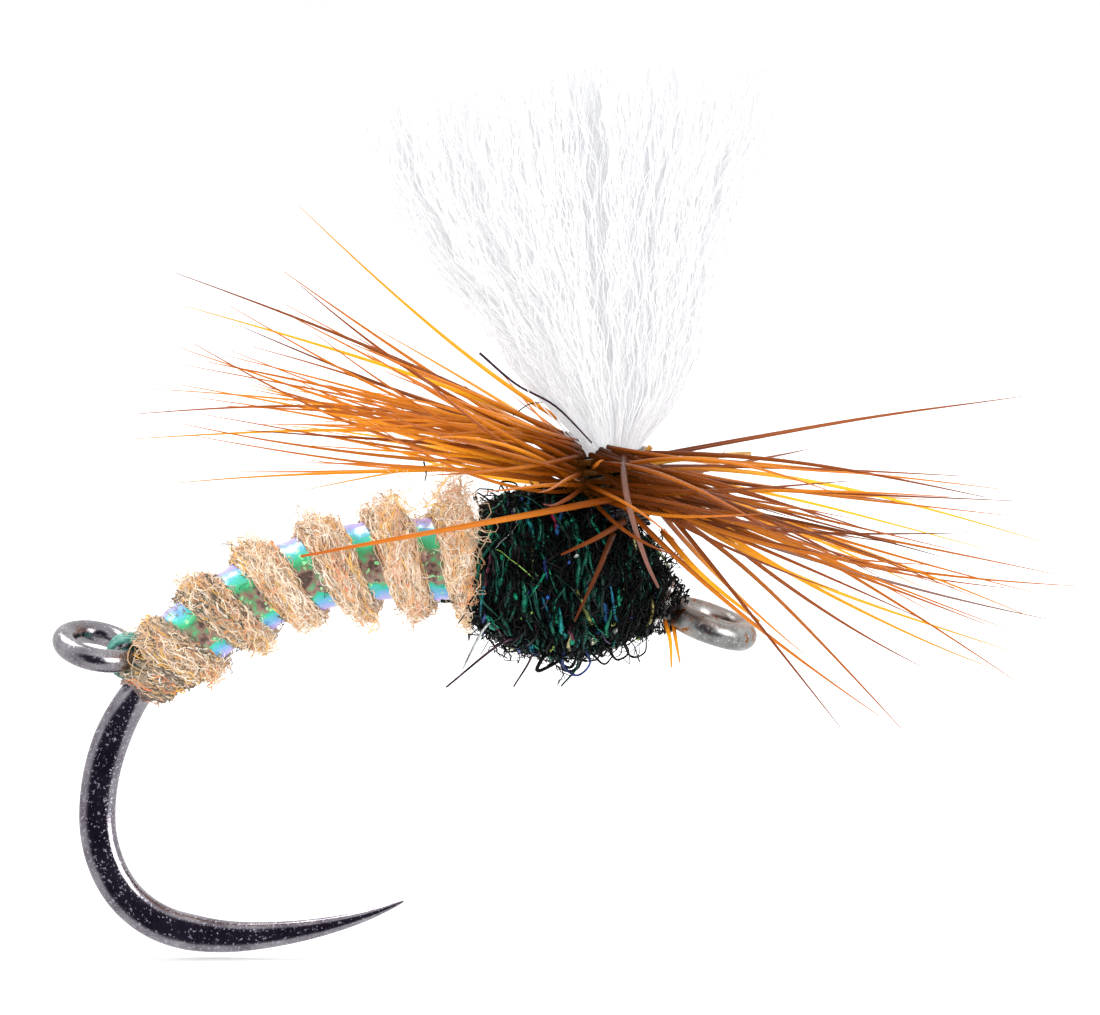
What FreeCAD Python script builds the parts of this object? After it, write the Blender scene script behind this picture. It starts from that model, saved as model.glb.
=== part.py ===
"""A parachute dry fly on a curved barbless hook, with a dropper ring at the bend.

Frame: origin at the centre of the hook's eye, +X towards the head, +Z up towards the wing,
and Y across the fly. Sizes are in millimetres.

Everything tied on the hook is placed by its distance along the hook's centre line, which
starts at the neck of the eye and runs back over the shank, round the bend and out to the
point as tangent arcs in the plane Y = 0.
"""
import FreeCAD, Part
import Sketcher
import math
import os

V = FreeCAD.Vector
ACROSS = V(0, 1, 0)

doc = FreeCAD.newDocument("dry_fly")

# --------------------------------------------------------------------------- driving sizes

SIZES = [
    # hook wire and eye
    ("wire_r", 0.265, "radius of the shank wire"),
    ("neck_r", 0.222, "radius of the wire where it meets the eye"),
    ("eye_mean_r", 0.585, "eye, centre of its wire to the eye's centre"),
    ("eye_wire_r", 0.230, "radius of the eye's wire"),
    ("eye_bore_r", 0.350, "radius of the eye's hole"),
    ("eye_land", 0.140, "length of the straight wall inside the eye"),
    ("eye_tilt", 20.0, "eye turned down at the front, degrees"),
    ("eye_roll", 6.0, "eye rolled down on its -Y side, degrees"),
    # the hook's centre line, as arcs: radius and turn of each
    ("front_arc_r", 11.73, "front half of the shank"),
    ("front_arc_turn", 22.0, ""),
    ("rear_arc_r", 5.76, "rear half of the shank"),
    ("rear_arc_turn", 48.0, ""),
    ("entry_arc_r", 3.55, "upper part of the bend"),
    ("entry_arc_turn", 42.0, ""),
    ("bend_arc_r", 2.20, "back of the bend"),
    ("bend_arc_turn", 25.4, ""),
    ("heel_arc_r", 1.73, "bottom of the bend, the tightest part"),
    ("heel_arc_turn", 50.6, ""),
    ("root_arc_r", 3.84, "root of the spear"),
    ("root_arc_turn", 16.4, ""),
    ("spear_arc_r", 7.90, "spear"),
    ("spear_arc_turn", 12.0, ""),
    ("point_arc_r", 6.00, "needle point, curving up a little"),
    ("point_arc_turn", 10.0, ""),
    # forging of the bend
    ("forged_half_depth", 0.305, "half the bend's depth, in the plane of the bend"),
    ("forged_half_width", 0.225, "half the bend's width across the flats"),
    ("point_r", 0.015, "radius left at the very tip"),
    ("forge_start", 9.55, "distance along the hook where forging begins"),
    ("forge_full", 10.70, "and where the section is fully forged"),
    ("taper_start", 14.60, "and where the spear starts to taper"),
    # layers of thread and yarn on the shank
    ("layer_gap", 0.020, "space between one layer and the next"),
    ("underbody_r", 0.340, "outer radius of the thread underbody"),
    ("underbody_front", 0.46, "its front end, along the hook"),
    ("underbody_rear", 9.02, "its rear end"),
    ("butt_r", 0.520, "outer radius of the yarn butts on top of the shank"),
    ("butt_front", 1.44, ""),
    ("butt_rear", 2.92, ""),
    ("anchor_r", 0.600, "outer radius of the thread over the butts"),
    ("anchor_front", 1.50, ""),
    ("anchor_rear", 2.80, ""),
    ("tie_in_r", 0.400, "outer radius of the wraps that hold the tinsel"),
    ("tie_in_front", 8.10, ""),
    ("tie_in_rear", 8.72, ""),
    # abdomen and rib
    ("abdomen_front", 3.45, "where the abdomen meets the thorax"),
    ("abdomen_rear", 8.98, "tail end of the abdomen"),
    ("abdomen_front_r", 0.960, "radius over the dubbing at the thorax"),
    ("abdomen_rear_r", 0.630, "radius over the dubbing at the tail"),
    ("groove_r", 0.505, "radius of the dubbing under the tinsel"),
    ("rib_pitch", 1.020, "distance between turns of the tinsel"),
    ("rib_width", 0.400, "width of the tinsel"),
    ("rib_film", 0.025, "thickness of the tinsel"),
    ("rib_cross", 4.140, "place where one turn crosses the -Y side"),
    ("rib_front", 3.50, ""),
    ("rib_rear", 8.62, ""),
    # thorax
    ("thorax_place", 1.930, "centre of the thorax, along the hook"),
    ("thorax_half_length", 2.050, ""),
    ("thorax_r", 1.370, ""),
    ("thorax_front_cut", 1.42, "from its centre to the head end"),
    ("thorax_rear_cut", 1.38, "from its centre to the flat rear end"),
    # wing post
    ("post_place", 0.850, "where the post stands, along the hook"),
    ("post_lean", 6.30, "lean of the post towards the tail, degrees"),
    ("post_r", 0.400, "radius of the bound stem"),
    ("post_bound", 2.340, "height of the bound stem above the shank's centre line"),
    ("wing_top", 8.700, "height of the wing's top above the shank's centre line"),
    ("wing_half_length", 3.400, "half the fan's length at the top"),
    ("wing_half_width", 2.000, "half the fan's width at the top"),
    ("post_wrap_r", 0.490, "outer radius of the thread round the stem"),
    ("post_wrap_low", 1.300, ""),
    ("post_wrap_high", 2.300, ""),
    # hackle
    ("quill_r", 0.055, "radius of the hackle's stem"),
    ("quill_turn_r", 0.570, "radius of its turns round the post"),
    ("quill_pitch", 0.165, ""),
    ("quill_turns", 4.0, ""),
    ("quill_low", 1.640, "height of the lowest turn"),
    ("barb_root_r", 0.052, "radius of a barb at its root"),
    ("barb_tip_r", 0.010, "and at its tip"),
    ("barb_length", 7.650, ""),
    ("barb_start", 0.700, "distance of a barb's root from the post's axis"),
    ("hackle_tilt", 14.0, "hackle's plane, down at the head end, degrees"),
    ("stub_r", 0.036, "radius of the trimmed stem end"),
    ("stub_length", 1.860, ""),
    ("stub_height", 2.200, "its height on the post"),
    ("stub_start", 0.100, "its start in front of the post's axis"),
    ("stub_side", 0.780, "its distance to the -Y side"),
    ("stub_lift", 12.0, "its lift above the hackle's plane, degrees"),
    # head
    ("head_front", 0.27, "front end of the head wraps, along the hook"),
    ("head_rear", 0.43, ""),
    ("head_r", 0.390, "radius of the head wraps"),
    ("cement_r", 0.430, "radius over the cement"),
    ("cement_gap", 0.008, "space between the cement and the wraps"),
    # dropper ring and its lashing
    ("ring_mean_r", 0.555, "ring, centre of its wire to the ring's centre"),
    ("ring_wire_r", 0.195, ""),
    ("ring_bore_r", 0.350, "radius of the ring's hole"),
    ("ring_land", 0.120, "length of the straight wall inside the ring"),
    ("ring_place", 9.330, "where the ring sits, along the hook"),
    ("ring_rise", 12.7, "ring's far end stands this much above level, degrees"),
    ("ring_roll", 18.0, "ring rolled down on its -Y side, degrees"),
    ("ring_gap", 0.035, "space between the ring's wire and the hook"),
    ("lash_hole_r", 0.228, "hole in the lashing for the ring's wire"),
    ("lash_r", 0.272, "outer radius of the lashing round the ring's wire"),
    ("lash_length", 0.200, "length of the lashing along the ring's wire"),
    ("collar_r", 0.350, "outer radius of the lashing round the hook"),
    ("collar_front", 9.06, ""),
    ("collar_rear", 9.56, ""),
    ("varnish_r", 0.325, "radius of the varnish run below the lashing"),
    ("varnish_bore_r", 0.300, "clear of the wire, which starts to be forged here"),
    ("varnish_front", 9.57, ""),
    ("varnish_rear", 9.80, ""),
    # loose fibres
    ("flash_r", 0.016, "radius of a thorax fibre"),
    ("flash_first", 0.900, "first of them, along the hook"),
    ("flash_step", 0.280, ""),
    ("flash_lift", 1.360, "height of its foot over the hook's line"),
    ("flash_span", 210.0, "how far round it curls, degrees"),
    ("hair_r", 0.014, "radius of a guard hair"),
    ("hair_first", 3.750, "first of them, along the hook"),
    ("hair_step", 0.200, ""),
    ("hair_lift", 1.020, "height of its foot over the hook's line"),
    ("hair_span", 230.0, "how far round it curls, degrees"),
    ("loop_r", 0.210, "radius of a fibre's curl"),
]

sheet = doc.addObject("Spreadsheet::Sheet", "sizes")
for row, (alias, value, meaning) in enumerate(SIZES, start=1):
    sheet.set(f"A{row}", alias)
    sheet.set(f"B{row}", str(value))
    sheet.set(f"C{row}", meaning)
    sheet.setAlias(f"B{row}", alias)
doc.recompute()


def size(alias):
    """The value of one cell of the sheet, in millimetres or degrees."""
    return float(getattr(sheet, alias))


def bind(thing, **cells):
    """Bind properties of a document object to expressions of the sheet's cells."""
    for name, expression in cells.items():
        thing.setExpression(name, expression)


# ------------------------------------------------------------------- the hook's centre line

ARC_NAMES = ["front", "rear", "entry", "bend", "heel", "root", "spear", "point"]


def hook_arcs():
    """Each arc of the centre line: start distance, length, centre, radius, start heading."""
    heading = 180.0 - size("eye_tilt") - 2.0
    lean = math.radians(heading)
    start = V(math.cos(lean), 0, math.sin(lean)) * size("eye_mean_r")
    travelled = 0.0
    arcs = []
    for name in ARC_NAMES:
        radius = size(f"{name}_arc_r")
        turn = size(f"{name}_arc_turn")
        angle = math.radians(heading)
        centre = start + V(-math.sin(angle), 0, math.cos(angle)) * radius
        length = radius * math.radians(turn)
        arcs.append((travelled, length, centre, radius, heading))
        heading += turn
        angle = math.radians(heading)
        start = centre + V(math.sin(angle), 0, -math.cos(angle)) * radius
        travelled += length
    return arcs


ARCS = hook_arcs()
HOOK_LENGTH = ARCS[-1][0] + ARCS[-1][1]


def station(place):
    """Point, direction of travel and outward normal at a distance along the hook."""
    for start, length, centre, radius, heading in ARCS:
        if place <= start + length:
            break
    angle = math.radians(heading) + (place - start) / radius
    travel = V(math.cos(angle), 0, math.sin(angle))
    outward = V(math.sin(angle), 0, -math.cos(angle))
    return centre + outward * radius, travel, outward


def section_face(place, inner, outer, span=360.0):
    """Face of a sleeve cut square across the hook: a ring, or its outward part over a span."""
    point, travel, outward = station(place)
    if span >= 360.0:
        outline = Part.Wire(Part.makeCircle(outer, point, travel))
        hole = Part.Wire(Part.makeCircle(inner, point, travel))
        return Part.makeFace([outline, hole], "Part::FaceMakerBullseye")
    rims = []
    for radius in (inner, outer):
        corners = []
        for angle in (-span / 2, 0.0, span / 2):
            lean = FreeCAD.Rotation(travel, angle)
            corners.append(point + lean.multVec(outward) * radius)
        rims.append(corners)
    inside, outside = rims
    edges = [
        Part.Arc(*inside).toShape(),
        Part.makeLine(inside[2], outside[2]),
        Part.Arc(*outside).toShape(),
        Part.makeLine(outside[0], inside[0]),
    ]
    return Part.Face(Part.Wire(Part.__sortEdges__(edges)))


def tube(front, rear, inner, outer, span=360.0):
    """A sleeve round the hook from one distance along it to another."""
    solids = []
    for start, length, centre, radius, heading in ARCS:
        low = max(front, start)
        high = min(rear, start + length)
        if high - low > 1e-6:
            turn = math.degrees((high - low) / radius)
            face = section_face(low, inner, outer, span)
            solids.append(face.revolve(centre, ACROSS * -1, turn))
    whole = solids[0]
    for other in solids[1:]:
        whole = whole.fuse(other)
    return whole.removeSplitter()


def core(front, rear, radius):
    """A solid rod round the hook's centre line, for cutting holes."""
    solids = []
    for start, length, centre, arc_radius, heading in ARCS:
        low = max(front, start)
        high = min(rear, start + length)
        if high - low > 1e-6:
            point, travel, outward = station(low)
            disc = Part.Face(Part.Wire(Part.makeCircle(radius, point, travel)))
            turn = math.degrees((high - low) / arc_radius)
            solids.append(disc.revolve(centre, ACROSS * -1, turn))
    whole = solids[0]
    for other in solids[1:]:
        whole = whole.fuse(other)
    return whole.removeSplitter()


# --------------------------------------------------------------------- document helpers

PARTS = []


def keep(thing, label):
    """Give a finished sub-part its label, which names its file."""
    thing.Label = label
    PARTS.append(thing)
    return thing


def shaped(name, shape, placement=None):
    """A feature that holds a shape made above."""
    thing = doc.addObject("Part::Feature", name)
    thing.Shape = shape
    if placement is not None:
        thing.Placement = placement
    return thing


def primitive(kind, name, placement, **cells):
    """A Part primitive with its sizes bound to the sheet."""
    thing = doc.addObject(kind, name)
    bind(thing, **cells)
    thing.Placement = placement
    return thing


def cut(name, base, tool):
    thing = doc.addObject("Part::Cut", name)
    thing.Base = base
    thing.Tool = tool
    return thing


def fuse(name, shapes):
    thing = doc.addObject("Part::MultiFuse", name)
    thing.Shapes = shapes
    return thing


def group(name, members):
    thing = doc.addObject("Part::Compound", name)
    thing.Links = members
    return thing


def origin_feature(body, role):
    """One of a body's own origin planes or axes, by its role."""
    for feature in body.Origin.OriginFeatures:
        if feature.Role == role:
            return feature
    raise ValueError(role)


def flat_sketch(body, name, role, lift=None):
    """A sketch on one of the body's origin planes, raised by a cell's value if one is given."""
    sketch = body.newObject("Sketcher::SketchObject", name)
    sketch.AttachmentSupport = [(origin_feature(body, role), "")]
    sketch.MapMode = "FlatFace"
    if lift is not None:
        sketch.setExpression("AttachmentOffset.Base.z", lift)
    return sketch


def circle_in(sketch, radius_cell):
    """A circle about the sketch's origin with its radius bound to a cell."""
    circle = sketch.addGeometry(Part.Circle(V(0, 0, 0), V(0, 0, 1), 1.0))
    sketch.addConstraint(Sketcher.Constraint("Coincident", circle, 3, -1, 1))
    index = sketch.addConstraint(Sketcher.Constraint("Radius", circle, 1.0))
    sketch.setExpression(f"Constraints[{index}]", radius_cell)


def ring_body(name, placement, outer_cell, inner_cell, length_cell, start_cell=None):
    """A PartDesign body: a ring sketched on its XY plane and padded along its Z axis."""
    body = doc.addObject("PartDesign::Body", name)
    sketch = flat_sketch(body, name + "_ring", "XY_Plane", start_cell)
    circle_in(sketch, outer_cell)
    circle_in(sketch, inner_cell)
    pad = body.newObject("PartDesign::Pad", name + "_pad")
    pad.Profile = sketch
    pad.setExpression("Length", length_cell)
    body.Placement = placement
    return body


# ---------------------------------------------------------------------------------- hook

def forging(place):
    """Half depth, half width and squareness of the wire at a distance along the hook."""
    neck = min(1.0, place / 0.35)
    round_r = size("neck_r") + (size("wire_r") - size("neck_r")) * neck
    span = size("forge_full") - size("forge_start")
    forged = min(1.0, max(0.0, (place - size("forge_start")) / span))
    forged = forged * forged * (3 - 2 * forged)
    depth = round_r + (size("forged_half_depth") - round_r) * forged
    width = round_r + (size("forged_half_width") - round_r) * forged
    left = (HOOK_LENGTH - place) / (HOOK_LENGTH - size("taper_start"))
    if left < 1.0:
        left = max(0.0, left)
        sharp = left ** 0.8
        depth = size("point_r") + (depth - size("point_r")) * sharp
        width = size("point_r") + (width - size("point_r")) * left ** 0.6
        forged *= left
    return depth, width, 2.0 + 1.6 * forged


def wire_section(place, corners=16):
    """The wire's outline across the hook, a circle that squares up where it is forged."""
    point, travel, outward = station(place)
    depth, width, squareness = forging(place)
    points = []
    for step in range(corners):
        angle = 2 * math.pi * step / corners
        c = math.cos(angle)
        d = math.sin(angle)
        along = math.copysign(abs(c) ** (2 / squareness), c) * depth
        across = math.copysign(abs(d) ** (2 / squareness), d) * width
        points.append(point + outward * along + ACROSS * across)
    curve = Part.BSplineCurve()
    curve.interpolate(Points=points, PeriodicFlag=True)
    return Part.Wire(curve.toShape())


def hook_wire():
    """The bent wire from the neck to the point, in one smooth skin."""
    places = [0.0, 0.15, 0.35]
    spacing = 0.45
    while places[-1] + spacing < size("forge_start"):
        places.append(places[-1] + spacing)
    bend_steps = 22
    start = size("forge_start")
    for step in range(bend_steps + 1):
        places.append(start + (HOOK_LENGTH - start) * step / bend_steps)
    return Part.makeLoft([wire_section(place) for place in places], True, False)


def eye_frame():
    """The eye's own frame: Z along its hole, towards the wing."""
    tilt = FreeCAD.Rotation(ACROSS, size("eye_tilt"))
    roll = FreeCAD.Rotation(V(1, 0, 0), size("eye_roll"))
    return tilt.multiply(roll)


def bored_ring(name, turn, centre, mean_cell, wire_cell, bore_cell, land_cell):
    """A wire ring whose hole has a short straight wall."""
    place = FreeCAD.Placement(centre, turn)
    half_down = FreeCAD.Placement(V(0, 0, -size(land_cell) / 2), FreeCAD.Rotation())
    deep_down = FreeCAD.Placement(V(0, 0, -size(wire_cell) * 2), FreeCAD.Rotation())
    wire = primitive("Part::Torus", name + "_wire", place,
                     Radius1=f"sizes.{mean_cell}", Radius2=f"sizes.{wire_cell}")
    land = primitive("Part::Cylinder", name + "_land", place.multiply(half_down),
                     Radius=f"sizes.{mean_cell} - 0.8 * sizes.{wire_cell}",
                     Height=f"sizes.{land_cell}")
    bore = primitive("Part::Cylinder", name + "_bore", place.multiply(deep_down),
                     Radius=f"sizes.{bore_cell}", Height=f"4 * sizes.{wire_cell}")
    return wire, land, bore


def make_hook():
    wire, land, bore = bored_ring("eye", eye_frame(), V(0, 0, 0), "eye_mean_r", "eye_wire_r",
                                  "eye_bore_r", "eye_land")
    blank = shaped("bent_wire", hook_wire())
    keep(cut("hook_bored", fuse("hook_blank", [blank, wire, land]), bore), "hook")


# ----------------------------------------------------------------- dropper ring and lashing

def ring_hold():
    """Centre of the ring's wire where the lashing holds it."""
    point, travel, outward = station(size("ring_place"))
    return point + outward * (size("wire_r") + size("ring_wire_r") + size("ring_gap"))


def ring_turn():
    """The ring's frame: X from its centre to the held wire, Z along its hole."""
    rise = FreeCAD.Rotation(ACROSS, size("ring_rise"))
    roll = FreeCAD.Rotation(V(1, 0, 0), size("ring_roll"))
    return rise.multiply(roll)


def make_ring():
    centre = ring_hold() - ring_turn().multVec(V(size("ring_mean_r"), 0, 0))
    wire, land, bore = bored_ring("ring", ring_turn(), centre, "ring_mean_r", "ring_wire_r",
                                  "ring_bore_r", "ring_land")
    keep(cut("ring_bored", fuse("ring_blank", [wire, land]), bore), "dropper_ring")


def make_lashing():
    """Thread wound round the ring's wire and the hook, with room for the wire to turn."""
    axis = ring_turn().multiply(FreeCAD.Rotation(V(1, 0, 0), -90))
    base = ring_hold() - axis.multVec(V(0, 0, size("lash_length") / 2))
    through = ring_hold() - axis.multVec(V(0, 0, 2 * size("lash_length")))
    eyelet = primitive("Part::Cylinder", "lash_eyelet", FreeCAD.Placement(base, axis),
                       Radius="sizes.lash_r", Height="sizes.lash_length")
    hole = primitive("Part::Cylinder", "lash_hole", FreeCAD.Placement(through, axis),
                     Radius="sizes.lash_hole_r", Height="4 * sizes.lash_length")
    inner = size("wire_r") + size("layer_gap")
    collar = shaped("lash_collar", tube(size("collar_front"), size("collar_rear"), inner,
                                        size("collar_r")))
    reach = 2 * size("lash_length")
    rod = shaped("lash_core", core(size("collar_front") - reach, size("collar_rear") + reach,
                                   inner))
    wound = fuse("lash_wound", [eyelet, collar])
    keep(cut("lash_open", cut("lash_on_hook", wound, rod), hole), "ring_lashing")
    coat = tube(size("varnish_front"), size("varnish_rear"), size("varnish_bore_r"),
                size("varnish_r"))
    keep(shaped("varnish", coat), "lashing_varnish")


# --------------------------------------------------------------------- layers on the shank

def make_shank_layers():
    gap = size("layer_gap")
    bare = size("wire_r") + gap
    over = size("underbody_r") + gap
    layers = [
        ("thread_underbody", "underbody_front", "underbody_rear", bare, "underbody_r", 360.0),
        ("post_butts", "butt_front", "butt_rear", over, "butt_r", 170.0),
        ("post_anchor_wraps", "anchor_front", "anchor_rear", size("butt_r") + gap, "anchor_r",
         360.0),
        ("rib_tie_in_wraps", "tie_in_front", "tie_in_rear", over, "tie_in_r", 360.0),
    ]
    for label, front, rear, inner, outer, span in layers:
        shape = tube(size(front), size(rear), inner, size(outer), span)
        keep(shaped(label + "_sleeve", shape), label)


# --------------------------------------------------------------------------- abdomen and rib

def rib_phase(place, angle):
    """0 on the tinsel's centre line and 0.5 midway between turns."""
    turns = (place - size("rib_cross")) / size("rib_pitch") + (angle - 90.0) / 360.0
    turns -= math.floor(turns)
    return min(turns, 1.0 - turns)


def dubbing_radius(place, angle):
    """Radius of the dubbing: full between the turns of tinsel and drawn in under them."""
    front = size("abdomen_front")
    rear = size("abdomen_rear")
    back = (place - front) / (rear - front)
    full = size("abdomen_front_r") + (size("abdomen_rear_r") - size("abdomen_front_r")) * back
    flat = size("rib_width") / size("rib_pitch") / 2 + 0.05
    rise = max(0.0, (rib_phase(place, angle) - flat) / (0.5 - flat))
    swell = math.sin(math.pi / 2 * min(1.0, rise)) ** 0.7
    return size("groove_r") + (full - size("groove_r")) * swell


def around(place, angle, radius):
    """A point off the hook's line. The angle runs from outward, over the -Y side."""
    point, travel, outward = station(place)
    lean = math.radians(angle)
    return point + outward * (radius * math.cos(lean)) - ACROSS * (radius * math.sin(lean))


def skin_solid(rows):
    """Solid bounded by a smooth skin through closed rows of points, and a flat face each end."""
    surface = Part.BSplineSurface()
    surface.interpolate([row + row[:1] for row in rows])
    skin = surface.toShape()
    first, last, start, finish = surface.bounds()
    ends = [Part.Face(Part.Wire(surface.uIso(end).toShape())) for end in (first, last)]
    shell = Part.makeShell([skin] + ends)
    shell.sewShape()
    solid = Part.makeSolid(shell)
    if solid.Volume < 0:
        solid.reverse()
    return solid


def make_abdomen():
    front = size("abdomen_front")
    rear = size("abdomen_rear")
    steps = 55
    corners = 20
    rows = []
    for step in range(steps + 1):
        place = front + (rear - front) * step / steps
        angles = [360.0 * corner / corners for corner in range(corners)]
        rows.append([around(place, angle, dubbing_radius(place, angle)) for angle in angles])
    hole = core(front - 0.3, rear + 0.3, size("tie_in_r") + size("layer_gap"))
    keep(shaped("abdomen", skin_solid(rows).cut(hole)), "abdomen_dubbing")


def make_rib():
    """A flat strip of tinsel wound in the groove, lofted through its own cross-sections."""
    front = size("rib_front")
    rear = size("rib_rear")
    half = size("rib_width") / 2
    low = size("groove_r") + size("layer_gap")
    high = low + size("rib_film")
    corners = [(-half, low), (half, low), (half, high), (-half, high), (-half, low)]
    steps = int((rear - front) / size("rib_pitch") * 16)
    sections = []
    for step in range(steps + 1):
        place = rear - (rear - front) * step / steps
        angle = 90.0 - (place - size("rib_cross")) / size("rib_pitch") * 360.0
        outline = [around(place + offset, angle, radius) for offset, radius in corners]
        sections.append(Part.makePolygon(outline))
    strip = Part.makeLoft(sections, True, False)
    keep(shaped("rib", strip), "rib_tinsel")


# -------------------------------------------------------------------------------- wing post

def post_frame(height=0.0):
    """Local Z up the post, from the shank's centre line."""
    point, travel, outward = station(size("post_place"))
    lean = FreeCAD.Rotation(ACROSS, -size("post_lean"))
    return FreeCAD.Placement(point + lean.multVec(V(0, 0, height)), lean)


def hackle_frame(height=0.0):
    """On the post's axis, with Z square to the hackle's plane."""
    tilt = FreeCAD.Rotation(ACROSS, size("hackle_tilt"))
    return FreeCAD.Placement(post_frame(height).Base, tilt)


FAN = [
    # height, half length and half width of the fan's outline, as shares of its size
    (0.00, 0.000, 0.000),
    (0.14, 0.195, 0.230),
    (0.34, 0.400, 0.430),
    (0.62, 0.730, 0.720),
    (0.86, 0.960, 0.940),
    (1.00, 1.000, 1.000),
]


def make_wing():
    """The post: a round bound stem that opens into a flat fan of yarn."""
    body = doc.addObject("PartDesign::Body", "wing_body")
    sketches = []
    for number, (up, long_share, wide_share) in enumerate(FAN):
        name = f"wing_outline_{number}"
        height = f"sizes.post_bound + {up} * (sizes.wing_top - sizes.post_bound)"
        sketch = flat_sketch(body, name, "XY_Plane", height)
        half_long = size("post_r") + long_share * (size("wing_half_length") - size("post_r"))
        half_wide = size("post_r") + wide_share * (size("wing_half_width") - size("post_r"))
        half_wide = min(half_wide, half_long - 0.001)
        ellipse = Part.Ellipse(V(half_long, 0, 0), V(0, half_wide, 0), V(0, 0, 0))
        sketch.addGeometry(ellipse)
        sketches.append(sketch)
    fan = body.newObject("PartDesign::AdditiveLoft", "wing_fan")
    fan.Profile = sketches[0]
    fan.Sections = sketches[1:]
    fan.Ruled = True
    body.Placement = post_frame()
    foot = size("butt_r") / 2
    stem = primitive("Part::Cylinder", "wing_stem", post_frame(foot),
                     Radius="sizes.post_r", Height="sizes.post_bound + 0.01 - sizes.butt_r / 2")
    reach = 2 * size("post_r")
    saddle = shaped("wing_saddle", core(size("post_place") - reach, size("post_place") + reach,
                                        size("underbody_r") + size("layer_gap")))
    whole = fuse("wing_whole", [body, stem])
    keep(cut("wing_seated", whole, saddle), "wing_post")


def make_post_wraps():
    wraps = ring_body("post_thread", post_frame(), "sizes.post_wrap_r",
                      "sizes.post_r + sizes.layer_gap",
                      "sizes.post_wrap_high - sizes.post_wrap_low", "sizes.post_wrap_low")
    keep(wraps, "post_wraps")


# ----------------------------------------------------------------------------------- hackle

def make_quill():
    """The feather's stem, an eight-sided rod wound round the foot of the post."""
    low = post_frame(size("quill_low"))
    steps_per_turn = 16
    sides = 8
    sections = []
    for step in range(int(size("quill_turns") * steps_per_turn) + 1):
        turned = 2 * math.pi * step / steps_per_turn
        away = V(math.cos(turned), math.sin(turned), 0)
        centre = away * size("quill_turn_r")
        centre.z = size("quill_pitch") * step / steps_per_turn
        outline = []
        for side in range(sides + 1):
            angle = 2 * math.pi * side / sides
            rim = away * math.cos(angle) + V(0, 0, math.sin(angle))
            outline.append(low.multVec(centre + rim * size("quill_r")))
        sections.append(Part.makePolygon(outline))
    keep(shaped("quill", Part.makeLoft(sections, True, False)), "hackle_quill")


BARB_TIERS = [
    # height on the post, lift above the hackle's plane, share of the length, turn of the tier
    (1.70, -9.0, 0.93, 5.0),
    (1.90, 3.0, 1.00, 4.9),
    (2.12, 15.0, 0.95, 1.5),
]
BARBS_IN_TIER = 24
HEAD_DROOP = 6.0  # how much lower the barbs lie at the head end, degrees
SECTORS = ["head", "far", "tail", "near"]


def make_barbs():
    """Tapered barbs that stand out round the post, in tiers, one group for each side."""
    sectors = {name: [] for name in SECTORS}
    for tier, (height, lift, reach, first) in enumerate(BARB_TIERS):
        hub = hackle_frame(height)
        for number in range(BARBS_IN_TIER):
            azimuth = first + 360.0 * number / BARBS_IN_TIER
            droop = HEAD_DROOP * max(0.0, math.cos(math.radians(azimuth)))
            swing = FreeCAD.Rotation(V(0, 0, 1), azimuth)
            raise_by = FreeCAD.Rotation(V(0, 1, 0), 90.0 - lift + droop)
            turn = swing.multiply(raise_by)
            root = turn.multVec(V(0, 0, size("barb_start")))
            place = hub.multiply(FreeCAD.Placement(root, turn))
            barb = primitive("Part::Cone", f"barb_{tier}_{number}", place,
                             Radius1="sizes.barb_root_r", Radius2="sizes.barb_tip_r",
                             Height=f"{reach} * sizes.barb_length")
            sector = SECTORS[int(((azimuth + 45.0) % 360.0) / 90.0)]
            sectors[sector].append(barb)
    for name in SECTORS:
        keep(group(f"barbs_{name}", sectors[name]), f"hackle_barbs_{name}")


def make_stub():
    """The trimmed butt of the hackle's stem, pointing at the eye."""
    forward = FreeCAD.Rotation(ACROSS, 90.0 - size("stub_lift"))
    beside = FreeCAD.Placement(V(size("stub_start"), -size("stub_side"), 0), forward)
    start = hackle_frame(size("stub_height")).multiply(beside)
    stub = primitive("Part::Cylinder", "stub", start, Radius="sizes.stub_r",
                     Height="sizes.stub_length")
    keep(stub, "hackle_stub")


# ----------------------------------------------------------------------------------- thorax

def shank_frame(place):
    """Local Z back along the hook."""
    point, travel, outward = station(place)
    return FreeCAD.Placement(point, FreeCAD.Rotation(V(0, 0, 1), travel))


def make_thorax():
    """Peacock dubbing, a barrel cut square at the tail end and bored for the layers inside."""
    middle = shank_frame(size("thorax_place"))
    barrel = primitive("Part::Ellipsoid", "thorax_barrel", middle,
                       Radius1="sizes.thorax_half_length", Radius2="sizes.thorax_r",
                       Radius3="sizes.thorax_r")
    shift = FreeCAD.Placement(V(0, 0, -size("thorax_front_cut")), FreeCAD.Rotation())
    slab = primitive("Part::Cylinder", "thorax_slab", middle.multiply(shift),
                     Radius="2 * sizes.thorax_r",
                     Height="sizes.thorax_front_cut + sizes.thorax_rear_cut")
    trimmed = doc.addObject("Part::Common", "thorax_trimmed")
    trimmed.Base = barrel
    trimmed.Tool = slab
    gap = size("layer_gap")
    rear = size("thorax_place") + size("thorax_half_length")
    seat = shaped("thorax_seat", core(0.0, rear, size("underbody_r") + gap))
    deep = shaped("thorax_deep", core(size("butt_front") - 2 * gap, rear,
                                      size("anchor_r") + gap))
    stem = primitive("Part::Cylinder", "thorax_stem_hole", post_frame(),
                     Radius="sizes.post_wrap_r + sizes.layer_gap", Height="sizes.wing_top")
    holes = fuse("thorax_holes", [seat, deep, stem])
    keep(cut("thorax_bored", trimmed, holes), "thorax_dubbing")


# ------------------------------------------------------------------------------------- head

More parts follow.
